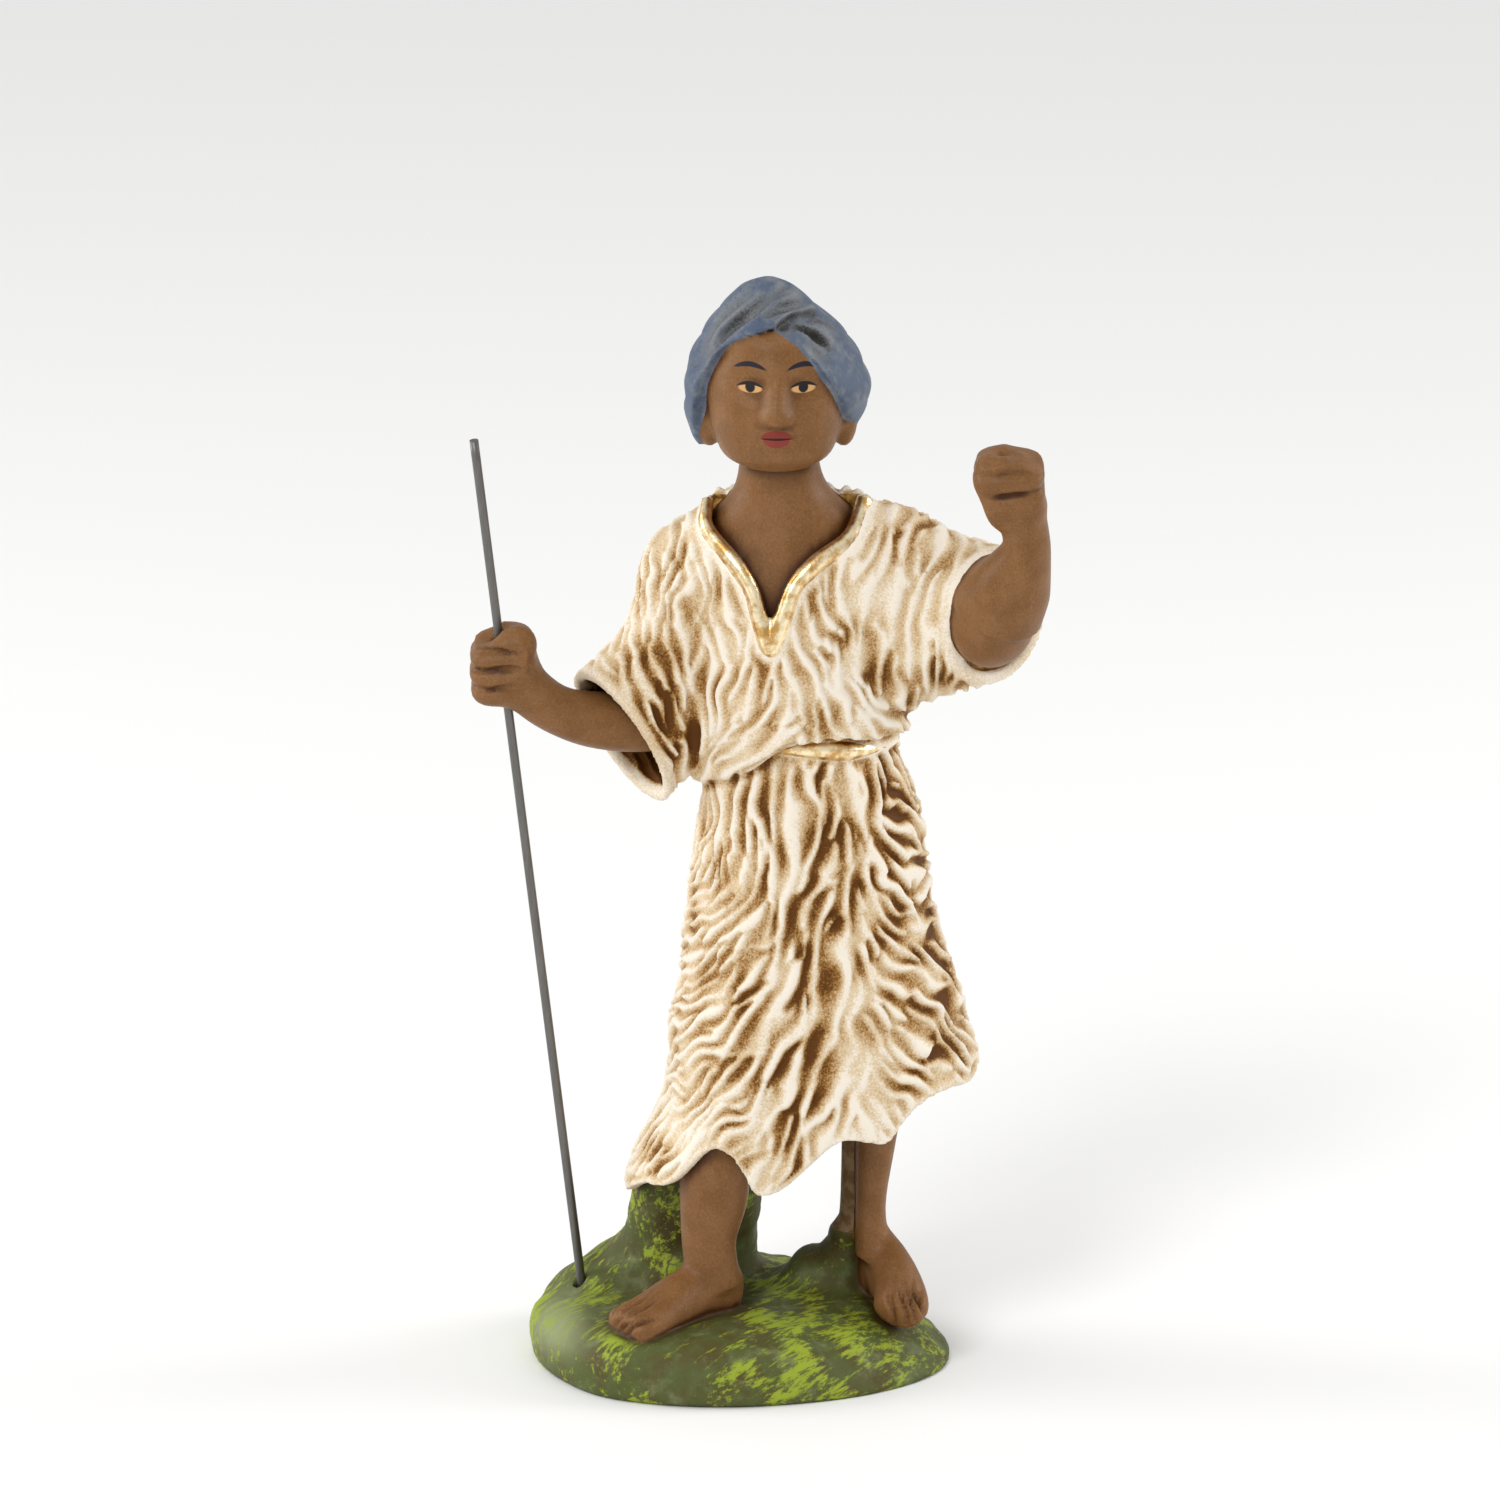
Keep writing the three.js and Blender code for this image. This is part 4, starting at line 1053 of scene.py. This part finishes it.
seen = in_view(in_percent(points))
fold_depth, fold_shade, wear_and_highlight = turban_folds(points, seen)
points = sunk(points, fold_depth * PERCENT)

woolly = smoothstep(owner["cloth"], 0.0, 0.8)
woolly = np.where(woolly > 0, woolly * plain_edges(points), 0)
strand, furrow_depth = fleece(points, normals, woolly)
carved = woolly * furrow_depth * (1 - strand)
points = sunk(points, FURROW_DEPTH * (carved - CREST * woolly * furrow_depth))

# Ground: low lumps, brushed in the same slant as the paint
BRUSH = np.array([0.75, 0.6, 0.28])
earthy = smoothstep(owner["ground"], 0.2, 1.0) * smoothstep(points[:, 2], 0.6, 2)
slanted = points - np.outer(points @ BRUSH, BRUSH * 0.75)
lumps = 0.16 * wobble(points, 7) + 0.12 * wobble(slanted, 2.2)
points = np.clip(sunk(points, earthy * np.clip(lumps, -0.25, 0.5)), *inner_box)

# Blots of painted shade on the ground round the legs, and paler blots, as the viewer sees them
ground_shade = blots(*seen.T, GROUND_SHADE)
soiled = blots(*in_percent(points)[:, [0, 2]].T, WASHES)
soiled += 0.18 * (1 - woolly) * smoothstep(owner["cloth"], 0.2, 0.8)  # plain bands take a little wash


def make_object(name, points, faces, material, attributes=None):
    """A mesh of points in millimetres, whose four-sided faces are smooth."""
    mesh = bpy.data.meshes.new(name)
    mesh.from_pydata((points * MM).tolist(), [], faces)
    for key, data in (attributes or {}).items():
        layer = mesh.attributes.new(key, "FLOAT", "POINT")
        layer.data.foreach_set("value", np.asarray(data, np.float32))
    mesh.materials.append(material)
    mesh.polygons.foreach_set("use_smooth", np.array([len(face) == 4 for face in faces]))
    mesh.update()
    thing = bpy.data.objects.new(name, mesh)
    bpy.context.scene.collection.objects.link(thing)
    return thing


MOST_TRIANGLES = 195_000


def thinned(thing, most):
    """Merges the mesh's flattest faces until it has no more triangles than that."""
    modifier = thing.modifiers.new("thin", "DECIMATE")
    modifier.ratio = most / (2 * len(thing.data.polygons))
    modifier.use_collapse_triangulate = True
    depsgraph = bpy.context.evaluated_depsgraph_get()
    mesh = bpy.data.meshes.new_from_object(thing.evaluated_get(depsgraph),
                                           preserve_all_data_layers=True, depsgraph=depsgraph)
    thing.modifiers.clear()
    thing.data = mesh
    spots = np.empty(3 * len(mesh.vertices), np.float32)
    mesh.vertices.foreach_get("co", spots)
    spots = np.clip(spots.reshape(-1, 3), *(inner_box * MM))
    mesh.vertices.foreach_set("co", spots.astype(np.float32).ravel())
    mesh.validate()
    mesh.update()
    print(thing.name, len(mesh.polygons), "faces")


# Materials

def rgb(*color):
    """A colour from 0 to 255, as a shader takes it."""
    shares = [c / 255 for c in color]
    return (*(c / 12.92 if c <= 0.04045 else ((c + 0.055) / 1.055) ** 2.4 for c in shares), 1)


class Paint:
    """Short ways to build a material's nodes."""

    def __init__(self, name):
        self.material = bpy.data.materials.new(name)
        self.material.use_nodes = True
        self.tree = self.material.node_tree

    def put(self, node, inputs):
        """Links or sets a node's inputs, by name or number."""
        for key, value in inputs.items():
            if isinstance(value, bpy.types.NodeSocket):
                self.tree.links.new(value, node.inputs[key])
            else:
                node.inputs[key].default_value = value

    def node(self, kind, inputs, **settings):
        node = self.tree.nodes.new(kind)
        for key, value in settings.items():
            setattr(node, key, value)
        self.put(node, inputs)
        return node

    def finished(self, inputs):
        """The material, once its shader has these inputs."""
        self.put(self.tree.nodes["Principled BSDF"], inputs)
        return self.material

    def attribute(self, name):
        return self.node("ShaderNodeAttribute", {}, attribute_name=name).outputs["Fac"]

    def spot(self):
        return self.node("ShaderNodeTexCoord", {}).outputs["Object"]

    def math(self, operation, *values):
        return self.node("ShaderNodeMath", dict(enumerate(values)), operation=operation).outputs[0]

    def times(self, a, b):
        return self.math("MULTIPLY", a, b)

    def less(self, a, b):
        return self.math("SUBTRACT", a, b)

    def sum(self, first, *others):
        for other in others:
            first = self.math("ADD", first, other)
        return first

    def swing(self, value, middle, strength):
        """How far a value is from its middle, times a strength."""
        return self.times(self.less(value, middle), strength)

    def step(self, value, low, high):
        """0 below low and 1 above high, with a smooth way between."""
        inputs = {"Value": value, "From Min": low, "From Max": high}
        ramp = self.node("ShaderNodeMapRange", inputs, interpolation_type="SMOOTHSTEP")
        return ramp.outputs["Result"]

    def grain(self, scale, detail=2.0, roughness=0.5, stretch=None, turn=(0, 0, 0)):
        """Noise from 0 to 1, with scale features across a metre, stretched along its turned axes."""
        spot = self.spot()
        if stretch:
            turn = [math.radians(angle) for angle in turn]
            spot = self.node("ShaderNodeMapping", {"Vector": spot, "Rotation": turn, "Scale": stretch},
                             vector_type="TEXTURE").outputs[0]
        inputs = {"Vector": spot, "Scale": scale, "Detail": detail, "Roughness": roughness}
        return self.node("ShaderNodeTexNoise", inputs).outputs["Fac"]

    def mix(self, share, a, b):
        """Colour a where share is 0 and b where it is 1."""
        return self.node("ShaderNodeMix", {0: share, 6: a, 7: b}, data_type="RGBA").outputs[2]

    def blend(self, share, a, b):
        """Number a where share is 0 and b where it is 1."""
        return self.node("ShaderNodeMix", {0: share, 2: a, 3: b}, data_type="FLOAT").outputs[0]

    def coats(self, base, *rows):
        """A base colour under coats of paint.

        Each row: the value that a coat follows, where it starts and where it is full, its colour, and
        its share where it is full, if that isn't 1.
        """
        color = rgb(*base)
        for value, start, full, paint, *most in rows:
            share = self.step(value, start, full)
            if most:
                share = self.times(share, most[0])
            color = self.mix(share, color, rgb(*paint))
        return color


class FigurePaint(Paint):
    """The figure's one material, with what its regions share."""

    def __init__(self):
        super().__init__("painted_figure")
        self.speckle = self.grain(3800, 5, 0.8)
        self.sand = self.less(self.speckle, 0.5)
        self.cloudy = self.grain(350, 3)
        # Patches on the gilt, paler from wear and as painted glints
        self.wear_and_glint = self.grain(800, 5, 0.6)
        self.hollow = self.attribute("hollow")
        self.fray = self.swing(self.grain(1200), 0.5, 0.25)

    def region(self, name):
        """1 where the figure has this paint, with a slightly frayed edge."""
        return self.step(self.sum(self.attribute(name), self.fray), -0.04, 0.04)


def fleece_paint(p):
    """Cream, with brown stain in the furrows, and painted shade in its hollows and inside the cuffs and
    the hem.
    """
    # Brown coats for the stain in the furrows and the blots, and painted shade in the hollows and inside
    # the cuffs and the hem
    stain_and_shade = p.sum(
        p.attribute("carved"), p.times(p.sand, 1.35), p.attribute("soiled"),
        p.swing(p.grain(160, 3), 0.45, 0.5), p.times(p.step(p.hollow, 0.03, 0.25), 0.55),
        p.times(p.step(p.attribute("lined"), 0.7, 1.4), 0.9))
    return p.coats(
        (240, 230, 214),
        (stain_and_shade, 0.05, 0.45, (216, 193, 156)),
        (stain_and_shade, 0.38, 0.84, (163, 117, 54)),
        (stain_and_shade, 0.67, 1.04, (92, 52, 4)))


def skin_paint(p):
    """Brown, with painted shade in its hollows and creases, and the face painted on."""
    color = p.coats(
        (120, 82, 45),
        (p.cloudy, 0.3, 0.7, (133, 93, 56)),
        (p.speckle, 0.5, 0.64, (84, 50, 22), 0.35),
        (p.speckle, 0.46, 0.34, (172, 130, 92), 0.3),
        # Painted shade in the hollows and along the creases
        (p.hollow, 0.02, 0.22, (66, 34, 8)),
        (p.sum(p.attribute("crease_shade"), p.sand), 0.2, 1.1, (78, 46, 20)))
    return face_paint(p, color)


def face_paint(p, color):
    """Brows, eyes and lips, painted by hand over the skin."""
    spot = p.node("ShaderNodeSeparateXYZ", {"Vector": p.spot()}).outputs
    size = PERCENT * MM
    x = p.math("DIVIDE", p.less(spot["X"], FACE_MIDDLE * size), size)
    z = p.math("DIVIDE", p.less(spot["Z"], BASE_HEIGHT * MM), size)
    aside = p.less(p.math("ABSOLUTE", x), EYE_ASIDE)
    front = p.math("LESS_THAN", spot["Y"], -0.002)
    edge = 0.25
    # Ovals: middle across and up, half width and half height, how their middle line is arched, colour
    for across, height, wide, tall, arch, paint in (
            (aside, EYE_HEIGHT - 0.05, 1.1, 0.42, 0, (206, 160, 104)),
            (aside, EYE_HEIGHT + 0.05, 0.46, 0.5, 0, (34, 30, 32)),
            (aside, EYE_HEIGHT + 0.42, 1.25, 0.17, 0.22, (36, 32, 36)),
            (aside, BROW + 0.35, 1.5, 0.24, 0.2, (36, 34, 40)),
            (x, MOUTH + 0.3, 1.45, 0.5, 0.1, (128, 52, 40)),
            (x, MOUTH - 0.42, 1.25, 0.5, -0.08, (134, 56, 44)),
            (x, MOUTH - 0.06, 1.55, 0.11, 0.02, (48, 26, 26))):
        rise = p.sum(p.less(z, height), p.times(p.times(across, across), arch))
        u, v = p.math("DIVIDE", across, wide), p.math("DIVIDE", rise, tall)
        reach = p.sum(p.times(u, u), p.times(v, v))
        inside = p.less(1.0, p.step(reach, 1 - edge, 1 + edge))
        color = p.mix(p.times(inside, front), color, rgb(*paint))
    return color


def turban_paint(p):
    """Slate blue, lighter on the folds' edges from wear and painted highlight, with grey-black painted
    shade in the folds.
    """
    wear_and_highlight = p.sum(p.attribute("wear_and_highlight"), p.times(p.sand, 1.8))
    fold_shade = p.sum(p.attribute("fold_shade"), p.times(p.sand, 1.5))
    return p.coats(
        (72, 86, 108),
        (p.cloudy, 0.3, 0.7, (88, 99, 116)),
        (p.grain(420, 5, 0.7), 0.42, 0.75, (124, 128, 132)),
        # Lighter grey on the folds' edges from wear and painted highlight, then grey-black painted shade
        # in the folds
        (wear_and_highlight, 0.1, 0.7, (130, 132, 134), 0.85),
        (fold_shade, 0.05, 0.75, (70, 70, 70)),
        (fold_shade, 0.45, 1.1, (36, 34, 32)))


def ground_paint(p):
    """Grey-green and brown, with lime strokes brushed over it on a slant, and painted shade round the
    legs and in the hollows.
    """
    ground_shade = p.attribute("ground_shade")
    strokes = p.grain(1500, 6, 0.75, stretch=(5, 1, 1), turn=(0, -18, 38))
    lime = p.sum(strokes, p.swing(p.grain(110), 0.5, 0.7), p.times(p.attribute("raised"), 0.3))
    # Fewer lime strokes where the painted shade lies
    lime = p.less(lime, p.times(p.math("MAXIMUM", ground_shade, 0.0), 0.12))
    return p.coats(
        (84, 92, 48),
        (p.grain(220, 5, 0.6), 0.38, 0.62, (82, 74, 38)),
        (p.grain(300, 5, 0.6), 0.5, 0.8, (120, 128, 88)),
        (p.speckle, 0.5, 0.8, (60, 58, 26), 0.6),
        # Paler blots, then painted shade round the legs and the stump
        (p.times(ground_shade, -1.0), 0.0, 0.6, (146, 154, 112)),
        (ground_shade, 0.1, 1.0, (64, 52, 22)),
        (lime, 0.5, 0.64, (148, 164, 48)),
        # Painted shade in the hollows
        (p.hollow, 0.02, 0.25, (60, 50, 16)))


def strut_paint(p):
    return p.coats((112, 84, 52), (p.grain(900, 3), 0.35, 0.65, (140, 116, 86)))


def gold_paint(p):
    # Pale patches from wear and as painted glint, and painted shade in the hollows
    return p.coats(
        (206, 160, 90),
        (p.wear_and_glint, 0.34, 0.6, (255, 238, 198)),
        (p.hollow, 0.04, 0.25, (136, 90, 24)))


def figure_material():
    """Skin, with the other paints over it, each in its own region."""
    p = FigurePaint()
    color, rough = skin_paint(p), 0.42
    for name, paint, matt in (("ground", ground_paint(p), 0.6), ("strut", strut_paint(p), 0.7),
                              ("cloth", fleece_paint(p), 0.6), ("turban", turban_paint(p), 0.5)):
        share = p.region(name)
        color = p.mix(share, color, paint)
        rough = p.blend(share, rough, matt)
    # The inside of the neck opening is a darker gilt, with the same pale patches from wear and painted
    # glint
    collar = p.times(p.step(p.attribute("collar"), 0.25, 0.45), p.region("cloth"))
    color = p.mix(collar, color, p.coats((110, 66, 14), (p.wear_and_glint, 0.34, 0.6, (186, 146, 78))))
    gilt = p.region("gold")
    bumps = p.node("ShaderNodeBump",
                   {"Strength": 0.3, "Distance": 0.0001, "Height": p.grain(5000, 4, 0.6)})
    return p.finished({
        "Base Color": p.mix(gilt, color, gold_paint(p)),
        "Specular IOR Level": 0.2,
        "Metallic": p.math("MAXIMUM", gilt, p.times(collar, 0.5)),
        "Roughness": p.blend(gilt, rough, 0.3),
        "Normal": bumps.outputs[0],
    })


def wire_material():
    p = Paint("bare_wire")
    streaks = p.grain(2500, 3, 0.6, stretch=(1, 1, 12))
    return p.finished({"Base Color": p.mix(streaks, rgb(92, 90, 88), rgb(128, 126, 122)),
                       "Metallic": 0.85, "Roughness": 0.42})


# The two pieces

figure = make_object("painted_figure", points, quads.tolist(), figure_material(), {
    **{name: owner[name] for name in ("cloth", "turban", "gold", "strut", "ground")},
    "hollow": cavity, "carved": carved, "lined": lined, "collar": collar, "fold_shade": fold_shade, "wear_and_highlight": wear_and_highlight,
    "raised": -lumps, "ground_shade": ground_shade, "crease_shade": crease_shade, "soiled": soiled,
})
thinned(figure, MOST_TRIANGLES)
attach(figure, "root")
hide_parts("figure")


def wire_staff():
    rings = np.array(rod_rings(STAFF_RADIUS, -SOCKET_DEPTH, STAFF_LENGTH - SOCKET_DEPTH, 32, 40))
    rows, sides = rings.shape[:2]
    ends = [list(reversed(range(sides))), list(range((rows - 1) * sides, rows * sides))]
    faces = ring_quads(rows, sides).tolist() + ends
    return make_object("wire_staff", rings.reshape(-1, 3), faces, wire_material())


staff = wire_staff()
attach(staff, "root")
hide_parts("staff")


# Floor, light and camera

FLOOR_REACH = 3.0


def pale_floor():
    material = Paint("pale_floor").finished({"Base Color": rgb(246, 246, 245), "Roughness": 0.9})
    corners = np.array([(-1, -1, 0), (1, -1, 0), (1, 1, 0), (-1, 1, 0)])
    return make_object("floor", corners * FLOOR_REACH / MM, [(0, 1, 2, 3)], material)


def soft_light():
    world = bpy.data.worlds.new("studio")
    world.use_nodes = True
    background = world.node_tree.nodes["Background"].inputs
    background["Color"].default_value = (1, 1, 1, 1)
    background["Strength"].default_value = 0.64
    bpy.context.scene.world = world
    for name, position, size, watts in (("key", (-0.75, -1.5, 1.4), 0.8, 17),
                                        ("left", (-0.55, 0.1, 0.3), 0.3, 1.3),
                                        ("right", (0.55, 0.1, 0.3), 0.3, 1.3)):
        lamp = bpy.data.lights.new(name, "AREA")
        lamp.shape = "DISK"
        lamp.size = size
        lamp.energy = watts
        thing = bpy.data.objects.new(name, lamp)
        thing.location = position
        thing.rotation_euler = (VIEW_TARGET - Vector(position)).to_track_quat("-Z", "Y").to_euler()
        bpy.context.scene.collection.objects.link(thing)


def camera():
    lens = bpy.data.cameras.new("camera")
    lens.sensor_width = 36
    lens.lens = lens.sensor_width * VIEW_DISTANCE / VIEW_WIDTH
    lens.clip_end = 20
    thing = bpy.data.objects.new("camera", lens)
    back = Vector((0, -math.cos(VIEW_ELEVATION), math.sin(VIEW_ELEVATION)))
    thing.location = VIEW_TARGET + back * VIEW_DISTANCE
    thing.rotation_euler = (-back).to_track_quat("-Z", "Y").to_euler()
    bpy.context.scene.collection.objects.link(thing)
    bpy.context.scene.camera = thing


pale_floor()
soft_light()
camera()
bpy.context.scene.view_settings.view_transform = "Standard"
